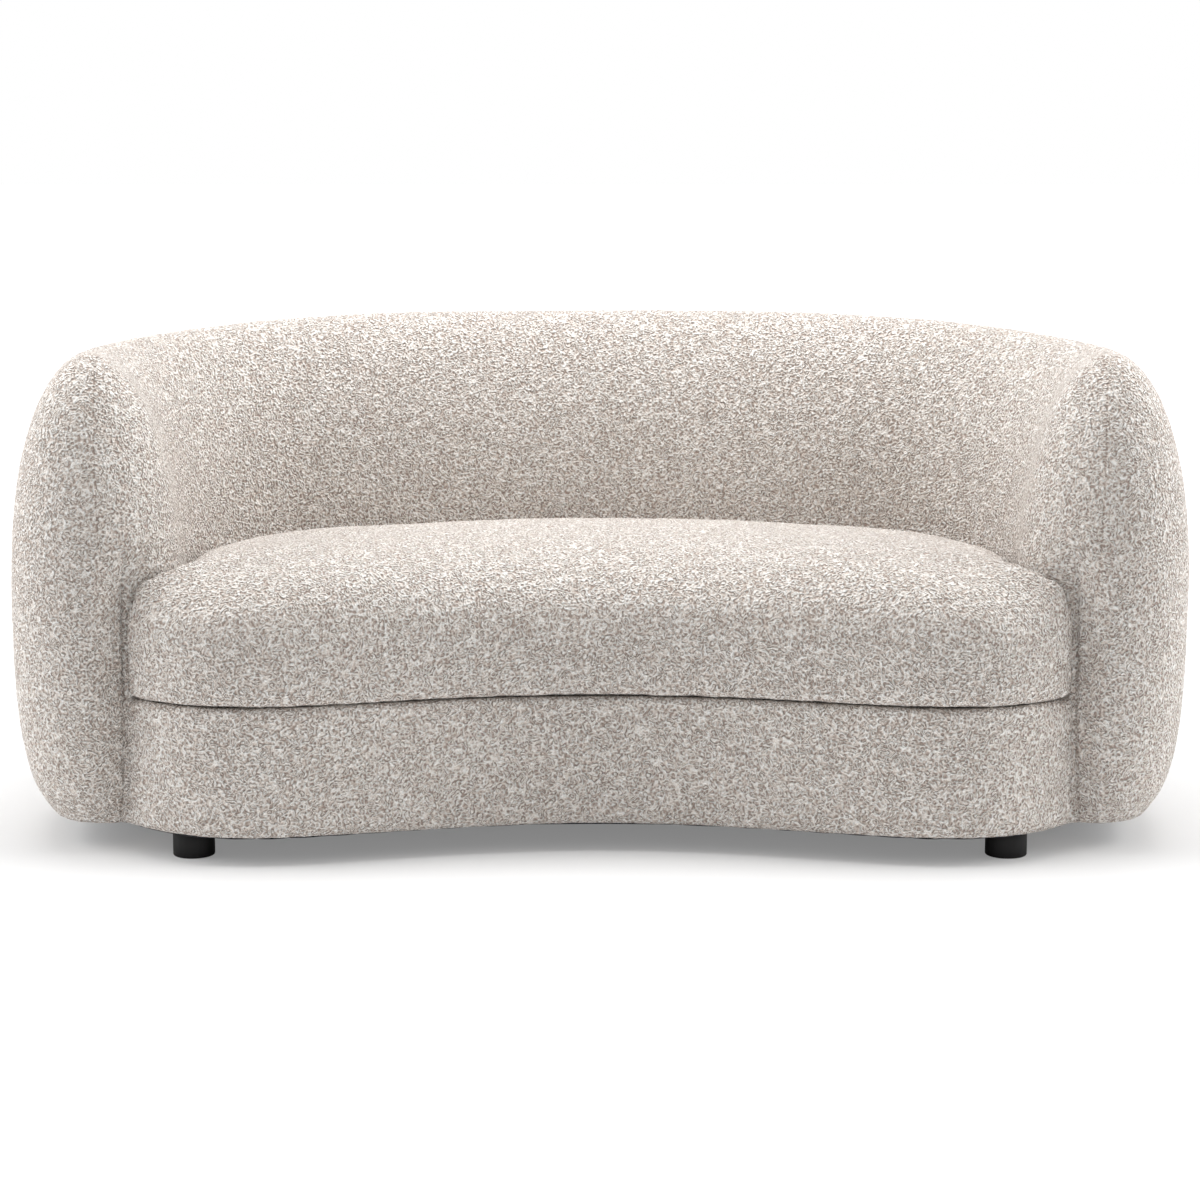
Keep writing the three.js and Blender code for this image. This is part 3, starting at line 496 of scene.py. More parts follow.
def add_stage():
    """A wide pale floor under a white surround, lit by a soft lamp overhead and one on each side."""
    bpy.ops.mesh.primitive_plane_add(size=FLOOR_SIZE, location=(0.0, 0.0, 0.0))
    floor = bpy.context.object
    floor.name = "floor"
    floor.data.materials.append(floor_material())

    world = bpy.data.worlds.new("surround")
    bpy.context.scene.world = world
    world.use_nodes = True
    world.node_tree.nodes.clear()
    net = Net(world.node_tree)
    direction = net.node("ShaderNodeTexCoord").outputs["Generated"]
    parts = net.node("ShaderNodeSeparateXYZ", {"Vector": direction})
    upward = net.math("MAXIMUM", parts.outputs["Z"], 0.0)
    level = net.math("MULTIPLY_ADD", upward, WORLD_RISE, WORLD_LEVEL)
    light = net.node("ShaderNodeBackground", {"Color": level, "Strength": 1.0})
    white = net.node("ShaderNodeBackground", {"Color": (1.0, 1.0, 1.0, 1.0), "Strength": 1.0})
    path = net.node("ShaderNodeLightPath")
    seen = net.math("MAXIMUM", path.outputs["Is Camera Ray"], path.outputs["Is Glossy Ray"])
    mixed = net.node("ShaderNodeMixShader", {0: seen, 1: light.outputs[0], 2: white.outputs[0]})
    net.node("ShaderNodeOutputWorld", {"Surface": mixed.outputs[0]})

    for name, settings in LAMPS.items():
        add_lamp(name, *settings)


# Shapes seen from above
def arc(centre, radius, start, end, spacing):
    count = max(2, round(abs(end - start) * radius / spacing))
    angles = np.linspace(start, end, count + 1)
    outward = np.column_stack((np.cos(angles), np.sin(angles)))
    return np.array(centre) + radius * outward, outward


def right_spine(spacing):
    """The body's middle line on the right, from the middle of the back to the nose."""
    bend = math.pi / 2 - BOW_ANGLE
    pieces = [
        arc((0.0, SPINE_REAR - BOW_RADIUS), BOW_RADIUS, math.pi / 2, bend, spacing),
        arc((BOW_HALF_SPAN, WIDEST_Y), CORNER_RADIUS, bend, 0.0, spacing),
        arc((SPINE_REACH - ARM_RADIUS, WIDEST_Y), ARM_RADIUS, 0.0, -TOE_ANGLE, spacing),
    ]
    places = np.vstack([piece[0] if i == 0 else piece[0][1:] for i, piece in enumerate(pieces)])
    outward = np.vstack([piece[1] if i == 0 else piece[1][1:] for i, piece in enumerate(pieces)])
    return places, outward


def full_spine(spacing):
    places, outward = right_spine(spacing)
    return (np.vstack((places[:0:-1] * MIRROR, places)),
            np.vstack((outward[:0:-1] * MIRROR, outward)))


def front_recess(x):
    side = np.abs(x)
    inner = FRONT_RECESS * np.clip(1 - (side / LOBE_PLACE) ** 2, 0, None) ** RECESS_POWER
    outer = LOBE_DEPTH * (np.maximum(side - LOBE_PLACE, 0) / LOBE_FROM_NOSE) ** LOBE_POWER
    return np.where(side <= LOBE_PLACE, inner, outer)


def front_slope(x):
    side = np.abs(x)
    share = np.minimum(side / LOBE_PLACE, 1)
    inner = -2 * share * RECESS_POWER * FRONT_RECESS / LOBE_PLACE
    inner = inner * (1 - share ** 2) ** (RECESS_POWER - 1)
    past = np.maximum(side - LOBE_PLACE, 0) / LOBE_FROM_NOSE
    outer = LOBE_POWER * LOBE_DEPTH / LOBE_FROM_NOSE * past ** (LOBE_POWER - 1)
    return np.sign(x) * np.where(side <= LOBE_PLACE, inner, outer)


def front_points(x, inset):
    x = np.asarray(x, dtype=float)
    slope = front_slope(x)
    size = np.hypot(slope, 1)
    return np.column_stack((x - inset * slope / size, FRONT_Y + front_recess(x) + inset / size))


def wall_at(x, offset):
    x = np.abs(np.asarray(x, dtype=float))
    bend = (BOW_RADIUS - offset) * math.sin(BOW_ANGLE)
    middle = SPINE_REAR - BOW_RADIUS + np.sqrt((BOW_RADIUS - offset) ** 2 - x ** 2)
    past = x - BOW_HALF_SPAN
    corner = WIDEST_Y + np.sqrt(np.clip((CORNER_RADIUS - offset) ** 2 - past ** 2, 0, None))
    return np.where(x <= bend, middle, corner)


def front_meeting(inset, radius):
    """The x place where the front edge meets a round of a given radius about the right nose."""
    tries = np.linspace(LOBE_PLACE, NOSE_X, 4001)
    reach = np.hypot(*(front_points(tries, inset) - NOSE).T)
    return float(tries[np.argmax(reach <= radius)])


def dip_share(gap):
    """1 where the seat's front meets the arm, falling to 0 at the dip's reach."""
    return smooth_step(1 - gap / DIP_REACH, 0, 1)


def nose_arc(corner, radius, dip, spacing):
    """The seat's round about the right nose, from a corner on its front to the inner side."""
    start = math.atan2(*(corner - NOSE)[::-1]) % (2 * math.pi)
    turn, outward = arc(NOSE, radius, start, math.pi - TOE_ANGLE, spacing)
    angles = np.linspace(start, math.pi - TOE_ANGLE, len(turn))
    return turn - outward * (dip * dip_share(radius * np.sin(start - angles)))[:, None]


def seat_half(front_inset, nose_radius, wall_offset, spacing, dip=0.0):
    """Right half of a seat outline, from the front's middle round to the rear's middle."""
    meeting = front_meeting(front_inset, nose_radius - dip)
    count = max(4, round(meeting / spacing))
    front = front_points(np.linspace(0.0, meeting, count + 1), front_inset)
    turn = nose_arc(front[-1], nose_radius, dip, spacing)
    places, outward = right_spine(spacing)
    wall = (places - outward * wall_offset)[::-1]
    return np.vstack((front, turn[1:], wall[1:] if abs(wall_offset - nose_radius) < 1e-6 else wall))


def seat_outline(front_inset, nose_radius, wall_offset, spacing):
    half = seat_half(front_inset, nose_radius, wall_offset, spacing)
    return np.vstack((half, half[-2:0:-1] * MIRROR))


# Mesh help
def add_piece(name, points, faces, material, body, replaced=()):
    mesh = bpy.data.meshes.new(name)
    mesh.from_pydata([tuple(point) for point in points], [], [tuple(face) for face in faces])
    mesh.update()
    piece = bpy.data.objects.new(name, mesh)
    bpy.context.collection.objects.link(piece)
    mesh.materials.append(material)
    mesh.shade_smooth()
    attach(piece, body)
    if replaced:
        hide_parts(*replaced)
    return piece


def grid_faces(rows, columns, wrap):
    """Four-cornered faces over rows and columns of points, closed round each row when asked."""
    span = columns if wrap else columns - 1
    row, column = np.meshgrid(np.arange(rows - 1), np.arange(span), indexing="ij")
    following = (column + 1) % columns
    low = row * columns
    high = low + columns
    corners = (low + column, low + following, high + following, high + column)
    return np.stack(corners, axis=-1).reshape(-1, 4)


def weld(piece, distance=1e-5):
    edit = bmesh.new()
    edit.from_mesh(piece.data)
    bmesh.ops.remove_doubles(edit, verts=edit.verts, dist=distance)
    bmesh.ops.dissolve_degenerate(edit, edges=edit.edges, dist=distance)
    edit.to_mesh(piece.data)
    edit.free()
    piece.data.shade_smooth()


def points_of(mesh):
    points = np.empty(len(mesh.vertices) * 3)
    mesh.vertices.foreach_get("co", points)
    return points.reshape(-1, 3)


def normals_of(mesh):
    normals = np.empty(len(mesh.vertices) * 3)
    mesh.vertex_normals.foreach_get("vector", normals)
    return normals.reshape(-1, 3)


def move_points(mesh, points):
    mesh.vertices.foreach_set("co", np.ascontiguousarray(points).ravel())
    mesh.update()


def lumpy(piece):
    """Moves the points in and out a little, as padding and loops of yarn do."""
    mesh = piece.data
    points = points_of(mesh)
    reach = np.zeros(len(points))
    for length, size in LUMPS:
        scale = 1 / length
        reach += size * np.array([noise.noise(Vector(point) * scale) for point in points])
    move_points(mesh, points + normals_of(mesh) * reach[:, None])


def crease_line():
    """Where the seat's front meets the right arm, and the way from the nose to it."""
    place = front_meeting(BASE_FACE_INSET, BODY_HALF - NOSE_DIP)
    line = front_points([place], BASE_FACE_INSET)[0]
    way = line - NOSE
    return line, way / np.hypot(*way)


def crease_arm(piece):
    """Dips each arm towards the seat's front, with a narrow crease along the line where they meet."""
    mesh = piece.data
    points = points_of(mesh)
    _, way = crease_line()
    off_nose = np.column_stack((np.abs(points[:, 0]) - NOSE_X, points[:, 1] - NOSE_Y))
    gap = np.abs(off_nose[:, 0] * way[1] - off_nose[:, 1] * way[0])
    crease = np.clip(1 - gap / ARM_CREASE["reach"], 0, 1) ** 2
    size = NOSE_DIP * dip_share(gap) + ARM_CREASE["depth"] * crease
    size *= np.clip((CREASE_TOP - points[:, 2]) / CREASE_FADE, 0, 1) * (off_nose @ way > 0.03)
    points[:, 0] -= np.sign(points[:, 0]) * way[0] * size
    points[:, 1] -= way[1] * size
    move_points(mesh, points)


def crease_base(piece):
    """Draws the base's cloth in beside the arms."""
    mesh = piece.data
    points = points_of(mesh)
    line, _ = crease_line()
    gap = np.hypot(np.abs(points[:, 0]) - line[0], points[:, 1] - line[1])
    near = np.clip(1 - gap / BASE_CREASE["reach"], 0, 1) ** 2
    inward = normals_of(mesh) * (1.0, 1.0, 0.0)
    move_points(mesh, points - inward * (BASE_CREASE["depth"] * near)[:, None])


# Back-and-arm body
def body_profile():
    """The body's section as rows of (rise, outer width share, seat side share), from the bottom up."""
    lower = np.radians(np.linspace(60.0, 0.0, 200))
    rows = np.column_stack((
        -np.sin(lower) ** LOWER_SHARES["rise"],
        np.cos(lower) ** LOWER_SHARES["width"],
        np.ones(len(lower)),
    ))
    end = np.array((-1.0, BOTTOM_SHARE, 1 - SEAT_EDGE_ROUND))
    start = rows[0]
    slope = (rows[0] - rows[1]) / abs(rows[0][0] - rows[1][0])
    middle = start + slope * (start[0] + 1.0)
    middle[0] = -1.0
    t = np.linspace(0.0, 1.0, 60)[:, None]
    bend = (1 - t) ** 2 * end + 2 * t * (1 - t) * middle + t ** 2 * start
    upper = np.radians(np.linspace(0.0, 90.0, 400))
    widths = np.clip(np.cos(upper), 0, None) ** UPPER_SHARES["width"]
    top = np.column_stack((np.sin(upper) ** UPPER_SHARES["rise"], widths, widths))
    rows = np.vstack((bend[:-1], rows[:-1], top))
    size = np.column_stack((rows[:, 0] * (BACK_TOP - WIDEST_HEIGHT), rows[:, 1] * BODY_HALF))
    along = np.concatenate(([0.0], np.cumsum(np.hypot(*np.diff(size, axis=0).T))))
    count = round(along[-1] / BODY_LEVEL_SPACING)
    at = np.linspace(0.0, along[-1], count + 1)
    return np.column_stack([np.interp(at, along, rows[:, i]) for i in range(3)])


def body_rim():
    """Cores, directions and seat side shares of the points round the body, seen from above."""
    places, outward = full_spine(BODY_SPACING)
    steps = max(8, round(math.pi * BODY_HALF / BODY_SPACING))
    _, way = crease_line()
    contact = -TOE_ANGLE - math.atan2(way[1], way[0])
    close = contact + np.arange(-CREASE_BAND, CREASE_BAND + 0.0001, CREASE_STEP) / BODY_HALF
    turns = math.pi * np.arange(1, steps) / steps
    apart = np.abs(turns - contact) > (CREASE_BAND + 0.004) / BODY_HALF
    turns = np.sort(np.concatenate((turns[apart], close)))

    def nose(place, angles):
        return np.tile(place, (len(angles), 1)), np.column_stack((np.cos(angles), np.sin(angles)))

    first = math.atan2(-outward[0][1], -outward[0][0])
    last = math.atan2(outward[-1][1], outward[-1][0])
    right_core, right_out = nose(places[-1], last - turns)
    left_core, left_out = nose(places[0], first - math.pi + turns[::-1])
    cores = np.vstack((places, right_core, places[::-1], left_core))
    outs = np.vstack((outward, right_out, -outward[::-1], left_out))
    outer = np.zeros(len(places))
    inner = np.ones(len(places))
    round_nose = SEAT_SIDE_SHARES["fullness"] * (1 - np.cos(turns)) ** SEAT_SIDE_SHARES["power"]
    seatward = np.concatenate((outer, round_nose, inner, round_nose[::-1]))
    turned = np.concatenate((outer, turns / math.pi, inner, turns[::-1] / math.pi))
    return cores, outs, np.minimum(seatward, 1), turned


def make_body(material):
    cores, outs, seatward, turned = body_rim()
    rows = body_profile()
    fall = ARM_DROP * (np.abs(cores[:, 0]) / SPINE_REACH) ** 3
    rings = []
    flange = (BODY_HALF * BOTTOM_SHARE - BOTTOM_FLANGE) / BODY_HALF
    for rise, width, seat_width in np.vstack(([-1.0, flange, flange], rows)):
        share = width + (seat_width - width) * seatward
        flat = cores + outs * (BODY_HALF * share)[:, None]
        upper = BACK_TOP - fall - WIDEST_HEIGHT
        lower = WIDEST_HEIGHT - CLEARANCE
        height = WIDEST_HEIGHT + rise * np.where(rise > 0, upper, lower)
        rings.append(np.column_stack((flat, height)))
    points = np.vstack(rings)
    faces = grid_faces(len(rings), len(cores), wrap=True)[:, ::-1]
    low = points[:, 2][faces].max(axis=1) < BASE_TOP - 0.02
    hidden = (np.tile(turned, len(rings))[faces].min(axis=1) > 0.93) & low
    body = add_piece("body_cloth", points, faces[~hidden], material, "sofa_body",
                     ["body_cover"])
    weld(body)
    crease_arm(body)
    lumpy(body)


def copy_solid(name, node, spacing, wanted, material, body):
    """A finer copy of a solid, divided down to the spacing where it is wanted."""
    edit = bmesh.new()
    edit.from_mesh(frame["nodes"][node].data)
    bmesh.ops.triangulate(edit, faces=edit.faces)
    for _ in range(MOST_HALVINGS):
        long_edges = [edge for edge in edit.edges if edge.calc_length() > spacing and all(
            wanted(end.co) for end in edge.verts)]
        bmesh.ops.subdivide_edges(edit, edges=long_edges, cuts=1)
        bmesh.ops.triangulate(edit, faces=[face for face in edit.faces if len(face.verts) > 3])
    edit.verts.index_update()
    points = [tuple(point.co) for point in edit.verts]
    faces = [tuple(point.index for point in face.verts) for face in edit.faces]
    edit.free()
    piece = add_piece(name, points, faces, material, body, [node])
    piece.data.shade_flat()
    return piece


def make_padding(material):
    """The foam inside the back and the arms, with the same dips as its cover."""
    def near_nose(place):
        return math.hypot(abs(place.x) - NOSE_X, place.y - NOSE_Y) < PADDING_REACH

    padding = copy_solid("inner_back_padding", "inner_back_foam", PADDING_SPACING, near_nose, material,
                         "sofa_body")
    crease_arm(padding)


# Seat base
def channel_section():
    """The base cover's section: distance behind the front edge, and height."""
    high = BASE_TOP - BASE_TOP_RADIUS
    low = CLEARANCE + BASE_EDGE_RADIUS
    turns = np.linspace(0.0, math.pi / 2, 9)

    def bend(centre, angles, radius):
        return np.column_stack((
            BASE_FACE_INSET + radius * (1 - np.cos(angles)),
            centre + radius * np.sin(angles),
        ))

    flange = np.linspace(BASE_FACE_INSET + BASE_TOP_FLANGE, BASE_FACE_INSET + BASE_TOP_RADIUS, 12)
    top = np.column_stack((flange, np.full(12, BASE_TOP)))
    face = np.column_stack((np.full(34, BASE_FACE_INSET), np.linspace(high, low, 34)))
    under = np.array([[BASE_FACE_INSET + BASE_LOW_FLANGE, CLEARANCE]])
    return np.vstack((top, bend(high, turns[::-1][1:], BASE_TOP_RADIUS), face[1:-1],
                      bend(low, -turns, BASE_EDGE_RADIUS), under))


def make_base(material):
    section = channel_section()
    reach = NOSE_X - BASE_EDGE_RADIUS
    contact = crease_line()[0][0]
    close = contact + np.arange(-BASE_CREASE_BAND, BASE_CREASE_BAND + 0.0001, BASE_SPACING / 4)
    places = np.linspace(-reach, reach, round(2 * reach / BASE_SPACING) + 1)
    places = places[np.abs(np.abs(places) - contact) > BASE_CREASE_BAND + BASE_SPACING / 8]
    places = np.sort(np.concatenate((places, close, -close)))
    places = places[np.abs(places) <= reach]
    rings = [np.column_stack((front_points(places, inset), np.full(len(places), height)))
             for inset, height in section]
    points = np.vstack(rings)
    faces = grid_faces(len(section), len(places), wrap=False)
    base = add_piece("base_cloth", points, faces[:, ::-1], material, "sofa_body",
                     ["base_cover"])
    crease_base(base)
    lumpy(base)


# Seat cushion
def core_line(x):
    reach = (BOW_RADIUS - BODY_HALF) * math.sin(BOW_ANGLE) * CORE_SHARES["reach"]

    def between(place, share):
        front = FRONT_Y + float(front_recess(place))
        return front + share * (float(wall_at(place, BODY_HALF)) - front)

    middle = between(0.0, CORE_SHARES["middle"])
    end = between(reach, CORE_SHARES["end"])
    x = np.asarray(x, dtype=float)
    return np.column_stack((x, middle + (end - middle) * (x / reach) ** 2)), reach


def cushion_rim(inset, spacing):
    nose_radius = BODY_HALF + CUSHION_CLEARANCE + inset
    straight = (BOW_RADIUS - BODY_HALF) * math.sin(BOW_ANGLE)
    _, reach = core_line([0.0])
    places = np.linspace(0.0, reach, round(reach / spacing) + 1)
    cores, _ = core_line(places)
    front_edges = front_points(places, inset)
    rear_edges = np.column_stack((places, wall_at(places, nose_radius)))[::-1]
    outline = seat_half(inset, nose_radius, nose_radius, spacing, NOSE_DIP)
    end_edges = outline[outline[:, 0] > straight * CORE_SHARES["ends_from"]]
    cores = np.vstack((cores, np.tile(cores[-1], (len(end_edges), 1)), cores[::-1]))
    edges = np.vstack((front_edges, end_edges, rear_edges))
    cores = np.vstack((cores, cores[-2:0:-1] * MIRROR))
    edges = np.vstack((edges, edges[-2:0:-1] * MIRROR))
    return cores, edges


def smooth_step(value, start, stop):
    share = np.clip((value - start) / (stop - start), 0, 1)
    return share ** 2 * (3 - 2 * share)


def profile_weights(cores, edges):
    """How far each spot of the rim follows the front, the end and the rear profile."""
    way = edges - cores
    turn = way[:, 1] / np.hypot(*way.T)
    front = 1 - smooth_step(turn, CUSHION_TURNS["front_until"], CUSHION_TURNS["end_from"])
    rear = smooth_step(turn, CUSHION_TURNS["end_until"], CUSHION_TURNS["rear_from"])
    return front, 1 - front - rear, rear


def smooth_shares(shares, count):
    """A smooth curve through the rows of shares, with even steps along it."""
    rows = np.array(shares)
    padded = np.vstack((2 * rows[0] - rows[1], rows, 2 * rows[-1] - rows[-2]))
    t = np.linspace(0.0, 1.0, 24, endpoint=False)[:, None]
    spans = []
    for i in range(1, len(padded) - 2):
        a, b, c, d = padded[i - 1:i + 3]
        spans.append(0.5 * (2 * b + (c - a) * t + (2 * a - 5 * b + 4 * c - d) * t ** 2
                            + (3 * b - a - 3 * c + d) * t ** 3))
    curve = np.vstack([*spans, rows[-1:]])
    size = curve * (COVER_REACH, CUSHION_TOP - CUSHION_BOTTOM)
    along = np.concatenate(([0.0], np.cumsum(np.hypot(*np.diff(size, axis=0).T))))
    at = np.linspace(0.0, along[-1], count + 1)
    return np.column_stack([np.interp(at, along, curve[:, i]) for i in range(2)])


def cushion_form(material):
    """The cushion's cover as it is sewn, before it is filled."""
    cores, edges = cushion_rim(COVER_INSET, CUSHION_SPACING)
    weights = profile_weights(cores, edges)
    low = CUSHION_BOTTOM + COVER_INSET
    high = CUSHION_TOP - COVER_INSET
    rings = []
    profiles = [np.clip(smooth_shares(shares, round(COVER_SECTION / CUSHION_SPACING)), 0, 1)
                for shares in (CUSHION_FRONT_SHARES, CUSHION_END_SHARES, CUSHION_REAR_SHARES)]
    for rows in zip(*profiles):
        width, height = (sum(row[i] * weight for row, weight in zip(rows, weights)) for i in range(2))
        flat = cores + (edges - cores) * width[:, None]
        fall = END_FALL * (flat[:, 0] / (SPINE_REACH - BODY_HALF)) ** 2
        rings.append(np.column_stack((flat, low + (high - low - fall) * height)))
    points = np.vstack(rings)
    faces = grid_faces(len(rings), len(cores), wrap=True)
    piece = add_piece("seat_cushion_cloth", points, faces, material, "seat_cushion",
                      ["seat_cover"])
    weld(piece)
    return piece


def swell(piece):
    """Fills a padded piece by a cloth simulation; no point moves past the cap, or inwards."""
    mesh = piece.data
    before = points_of(mesh)
    cloth = piece.modifiers.new("cloth", "CLOTH")
    cloth.settings.use_pressure = True
    cloth.settings.uniform_pressure_force = SWELL_PRESSURE
    cloth.settings.effector_weights.gravity = 0.0
    cloth.settings.quality = 4
    cloth.point_cache.frame_start = 1
    cloth.point_cache.frame_end = SWELL_FRAMES
    scene = bpy.context.scene
    for number in range(1, SWELL_FRAMES + 1):
        scene.frame_set(number)
    graph = bpy.context.evaluated_depsgraph_get()
    swollen = bpy.data.meshes.new_from_object(piece.evaluated_get(graph))
    after = points_of(swollen)
    piece.modifiers.remove(cloth)
    scene.frame_set(1)
    moved = after - before
    outward = normals_of(mesh)
    inward = np.minimum(np.sum(moved * outward, axis=1, keepdims=True), 0.0)
    moved -= outward * inward
    size = np.linalg.norm(moved, axis=1, keepdims=True)
    moved *= np.minimum(1.0, SWELL_CAP / np.maximum(size, 1e-9))
    move_points(mesh, before + moved)
    bpy.data.meshes.remove(swollen)


def apply_modifier(piece, kind, **settings):
    modifier = piece.modifiers.new(kind.lower(), kind)
    for key, value in settings.items():
        setattr(modifier, key, value)
    graph = bpy.context.evaluated_depsgraph_get()
    done = bpy.data.meshes.new_from_object(piece.evaluated_get(graph))
    old = piece.data
    materials = list(old.materials)
    piece.modifiers.remove(modifier)
    piece.data = done
    done.materials.clear()
    for material in materials:
        done.materials.append(material)
    bpy.data.meshes.remove(old)
    done.shade_smooth()


def make_cushion(material):
    cushion = cushion_form(material)
    apply_modifier(cushion, "REMESH", mode="VOXEL", voxel_size=CUSHION_VOXEL, use_smooth_shade=True)
    apply_modifier(cushion, "SMOOTH", factor=0.5, iterations=4)
    swell(cushion)
    apply_modifier(cushion, "SUBSURF", levels=1, render_levels=1)
    flatten_bottom(cushion)
    lumpy(cushion)
    return cushion


def make_filling(name, node, cloth, gap, material):
    """A solid of the cushion's filling, drawn in where it would come closer to the cloth than the gap."""
    filling = copy_solid(name, node, FILLING_SPACING, lambda place: True, material, "seat_cushion")
    points = points_of(filling.data)
    tree = BVHTree.FromPolygons([Vector(point) for point in points_of(cloth.data)],
                                [tuple(face.vertices) for face in cloth.data.polygons])
    for i, point in enumerate(points):
        near, outward, _, _ = tree.find_nearest(Vector(point))
        if (Vector(point) - near).dot(outward) > -gap:
            points[i] = near - outward * gap
    move_points(filling.data, points)


def flatten_bottom(cushion):
    points = points_of(cushion.data)
    points[:, 2] = np.maximum(points[:, 2], CUSHION_BOTTOM + CLOTH_THICKNESS + 0.0004)
    move_points(cushion.data, points)


# Plain cloths
def inside(outline, points):
    """Which points lie inside a closed outline."""
    x, y = points[:, 0], points[:, 1]
    found = np.zeros(len(points), dtype=bool)
    for (ax, ay), (bx, by) in zip(outline, np.roll(outline, -1, axis=0)):
        if ay != by:
            found ^= ((ay > y) != (by > y)) & (x < (bx - ax) * (y - ay) / (by - ay) + ax)
    return found


def edge_gap(outline, points):
    """How far each point is from the nearest corner of an outline."""
    return np.min(np.hypot(points[:, None, 0] - outline[None, :, 0],
                           points[:, None, 1] - outline[None, :, 1]), axis=1)


def outline_area(outline):
    x, y = outline.T
    return abs(np.dot(x, np.roll(y, -1)) - np.dot(y, np.roll(x, -1))) / 2


def make_cloth(name, outline, spacing, height, material, body, node, holes=()):
    """A thin cloth inside an outline; height gives each point its level from its place and edge gap."""
    low, high = outline.min(axis=0), outline.max(axis=0)
    xs = np.arange(low[0] + spacing / 2, high[0], spacing)
    ys = np.arange(low[1] + spacing / 2, high[1], spacing)
    middle = np.array(np.meshgrid(xs, ys)).reshape(2, -1).T
    loops = [outline, *holes]
    middle = middle[inside(outline, middle)]
    for loop in loops:
        middle = middle[edge_gap(loop, middle) > spacing * 0.6]
    for hole in holes:
        middle = middle[~inside(hole, middle)]
    points = np.vstack([*loops, middle])
    edges, first = [], 0
    for loop in loops:
        edges += [(first + i, first + (i + 1) % len(loop)) for i in range(len(loop))]
        first += len(loop)
    made = geometry.delaunay_2d_cdt([Vector(point) for point in points], edges, [], 0, 1e-7)
    flat, faces = np.array([tuple(point) for point in made[0]]), np.array(made[2])
    centres = flat[faces].mean(axis=1)
    kept = inside(outline, centres)
    for hole in holes:
        kept &= ~inside(hole, centres)
    gaps = np.min([edge_gap(loop, flat) for loop in loops], axis=0)
    level = height(flat, gaps)
    cloth = add_piece(name, np.column_stack((flat, level)), faces[kept], material, body, [node])
    apply_modifier(cloth, "SOLIDIFY", thickness=CLOTH_THICKNESS, offset=-1.0)
    size = high - low
    return cloth, (float(size[0]), float(size[1])), float(outline_area(outline))


def waves(points, scale, seed):
    return np.array([noise.noise(Vector((x * scale, y * scale, seed))) for x, y in points])


def make_deck(material):
    """The plain cloth over the webbing, stitched near its edge and dented a little by use."""
    outline = seat_outline(DECK_INSET, BODY_HALF + 0.003, BODY_HALF + 0.0005, OUTLINE_SPACING)

    def height(points, gaps):
        soft = np.clip(gaps / 0.05, 0, 1)
        stitch = np.exp(-((gaps - 0.014) / 0.004) ** 2)
        sag = DECK_SAG * soft * (0.5 + waves(points, 9.0, 3.0))
        return DECK_TOP - 0.0006 - sag - 0.0012 * stitch

    deck, flat, area = make_cloth("deck_cloth", outline, CLOTH_SPACING, height, material, "sofa_body",
                                  "platform_cloth")


def make_cushion_base(material):
    """The plain cloth under the loose cushion."""
    clear = BODY_HALF + CUSHION_CLEARANCE + LIP_WIDTH
    outline = seat_outline(LIP_WIDTH, clear, clear, OUTLINE_SPACING)

    def height(points, gaps):
        stitch = np.exp(-((gaps - 0.008) / 0.003) ** 2)
        return CUSHION_BOTTOM + CLOTH_THICKNESS + 0.0001 + 0.0003 * stitch

    cloth, flat, area = make_cloth("seat_cushion_underside", outline, CLOTH_SPACING, height, material,
                                   "seat_cushion", "seat_cover_base")
    zipper = make_zip(clear + 0.016)


def make_zip(offset):
    """A nylon zip along the rear of the cushion's underside: two rows of teeth, a slider and a pull."""
    xs = np.arange(-ZIP_HALF, ZIP_HALF + 0.0001, TOOTH_STEP)
    line = np.column_stack((xs, wall_at(xs, offset)))
    points, faces = [], []

    def box(centre, half):
        corners = [(sx, sy, sz) for sx in (-1, 1) for sy in (-1, 1) for sz in (-1, 1)]
        first = len(points)
        points.extend(tuple(np.array(centre) + np.array(half) * corner) for corner in corners)
        faces.extend(tuple(first + i for i in face) for face in BOX_FACES)

    low = CUSHION_BOTTOM + 0.0001
    for i, (x, y) in enumerate(line):
        box((x, y + (TOOTH_STEP if i % 2 else -TOOTH_STEP), low + 0.0001), TOOTH_HALF)
    box((xs[-1] - 0.006, line[-1][1], low - 0.0001), SLIDER_HALF)
    box((xs[-1] - 0.018, line[-1][1], low - 0.0002), PULL_HALF)
    zipper = add_piece("cushion_zip", points, faces, zip_material(), "seat_cushion")
    zipper.data.shade_flat()
    return zipper


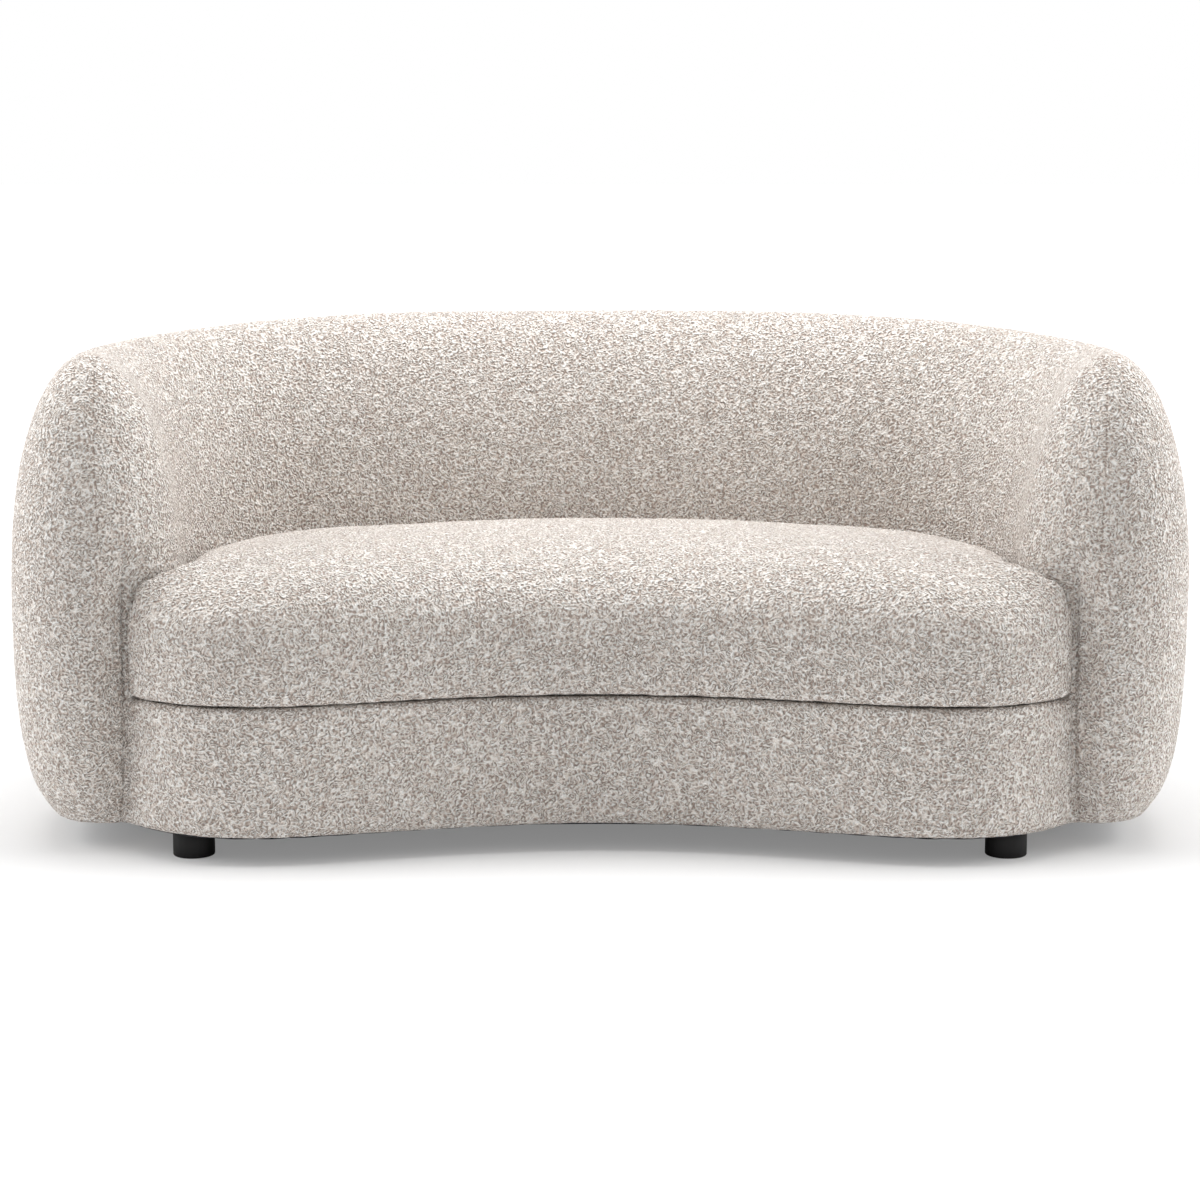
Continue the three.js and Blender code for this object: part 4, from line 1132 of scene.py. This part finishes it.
def make_underside(material, staple_material):
    """The black cloth under the sofa, drawn tight and stapled along its edge."""
    clear = BODY_HALF + 0.0003
    meeting = front_meeting(UNDERSIDE_INSET, clear - NOSE_DIP)
    front = front_points(np.linspace(0.0, meeting, 60), UNDERSIDE_INSET)
    turn = nose_arc(front[-1], clear, NOSE_DIP, OUTLINE_SPACING)
    tip, _ = arc(NOSE, UNDERSIDE_BAND, math.pi - TOE_ANGLE, 2 * math.pi - TOE_ANGLE, OUTLINE_SPACING)
    places, outward = right_spine(OUTLINE_SPACING)
    rear = (places + outward * UNDERSIDE_BAND)[::-1]
    half = np.vstack((front, turn[1:], tip, rear[1:]))
    outline = np.vstack((half, half[-2:0:-1] * MIRROR))
    angles = np.linspace(0, 2 * math.pi, 32, endpoint=False)
    hole = (LEG_RADIUS + HOLE_GAP) * np.column_stack((np.cos(angles), np.sin(angles)))
    holes = []
    for place in LEG_PLACES:
        low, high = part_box(f"{place}_leg")
        holes.append(((low[0] + high[0]) / 2, (low[1] + high[1]) / 2) + hole)

    def height(points, gaps):
        soft = np.clip(gaps / 0.09, 0, 1)
        pull = np.cos(2 * math.pi * np.hypot(*points.T) / STAPLE_SPACING)
        pull = pull * np.clip(1 - gaps / 0.05, 0, 1)
        return UNDERSIDE_TOP - UNDERSIDE_SAG * soft * (0.45 + waves(points, 5.0, 8.0)) - 0.0004 * pull

    cloth, flat, area = make_cloth("underside_cloth", outline, UNDERSIDE_SPACING, height, material,
                                   "sofa_body", "dust_cover", holes)
    staples = make_staples(outline, staple_material)


def make_staples(outline, material):
    """Flat wire staples in a row just inside the black cloth's edge."""
    following = np.roll(outline, -1, axis=0)
    steps = np.hypot(*(following - outline).T)
    along = np.concatenate(([0.0], np.cumsum(steps)))
    closed = np.vstack((outline, outline[:1]))
    points, faces = [], []
    for distance in np.arange(STAPLE_SPACING / 2, along[-1], STAPLE_SPACING):
        x, y = (np.interp(distance, along, closed[:, i]) for i in range(2))
        ahead = [np.interp(distance + 0.002, along, closed[:, i]) for i in range(2)]
        way = np.array((ahead[0] - x, ahead[1] - y))
        way /= np.hypot(*way)
        inward = np.array((-way[1], way[0]))
        centre = np.array((x, y)) + inward * STAPLE_INSET
        first = len(points)
        for side in (-1, 1):
            for depth in (-1, 1):
                place = centre + way * STAPLE_HALF[0] * side + inward * STAPLE_HALF[1] * depth
                points.extend((*place, level) for level in STAPLE_LEVELS)
        faces.extend(tuple(first + i for i in face) for face in BOX_FACES)
    staples = add_piece("underside_staples", points, faces, material, "sofa_body")
    staples.data.shade_flat()
    return staples


# Legs
def make_leg(name, node, material):
    low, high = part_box(node)
    x, y = (low[0] + high[0]) / 2, (low[1] + high[1]) / 2
    top = high[2]
    steps = np.linspace(0.0, math.pi / 2, 5)
    foot = [(LEG_RADIUS - LEG_BEVEL * (1 - math.sin(t)), LEG_BEVEL * (1 - math.cos(t))) for t in steps]
    head = [(LEG_RADIUS, top - LEG_TOP_BEVEL), (LEG_RADIUS - LEG_TOP_BEVEL, top)]
    profile = np.array([(0.0, 0.0), (LEG_RADIUS * 0.5, 0.0), *foot, *head, (0.006, top), (0.0, top)])
    angles = np.linspace(0.0, 2 * math.pi, LEG_SIDES, endpoint=False)
    rings = [np.column_stack((x + r * np.cos(angles), y + r * np.sin(angles), np.full(LEG_SIDES, z)))
             for r, z in profile]
    leg = add_piece(name, np.vstack(rings), grid_faces(len(profile), LEG_SIDES, wrap=True), material,
                    "sofa_body", [node])
    weld(leg)


def dress_solids(materials):
    """Gives each solid that shows as it is the finish of its slot."""
    for entry in frame["record"]["subparts"]:
        solid = frame["nodes"][entry["node"]]
        material = materials[entry["material_slot"]]
        if not solid.material_slots:
            solid.data.materials.append(material)
        for place in solid.material_slots:
            place.material = material


def main():
    bpy.context.scene.view_settings.view_transform = "Standard"
    add_camera()
    add_stage()
    materials = {
        "boucle": boucle_material(),
        "lining": cloth_material("lining", linear(186, 179, 168), linear(216, 210, 200), 0.0012),
        "wadding": foam_material("wadding", linear(226, 222, 214), linear(245, 243, 238), 0.004),
        "foam": foam_material("foam", linear(222, 205, 140), linear(240, 228, 178), 0.0016),
        "plywood": plywood_material(),
        "webbing": cloth_material("webbing", linear(24, 24, 26), linear(52, 52, 55), 0.0016),
        "black_wood": black_wood_material(),
        "steel": steel_material(),
    }
    dress_solids(materials)
    make_body(materials["boucle"])
    make_padding(materials["foam"])
    make_base(materials["boucle"])
    cushion = make_cushion(materials["boucle"])
    make_filling("seat_foam", "seat_core", cushion, FOAM_GAP, materials["foam"])
    make_filling("seat_wadding", "seat_topper", cushion, WADDING_GAP, materials["wadding"])
    make_deck(materials["lining"])
    make_cushion_base(materials["lining"])
    make_underside(materials["webbing"], materials["steel"])
    for place in LEG_PLACES:
        make_leg(f"{place}_foot", f"{place}_leg", materials["black_wood"])


main()
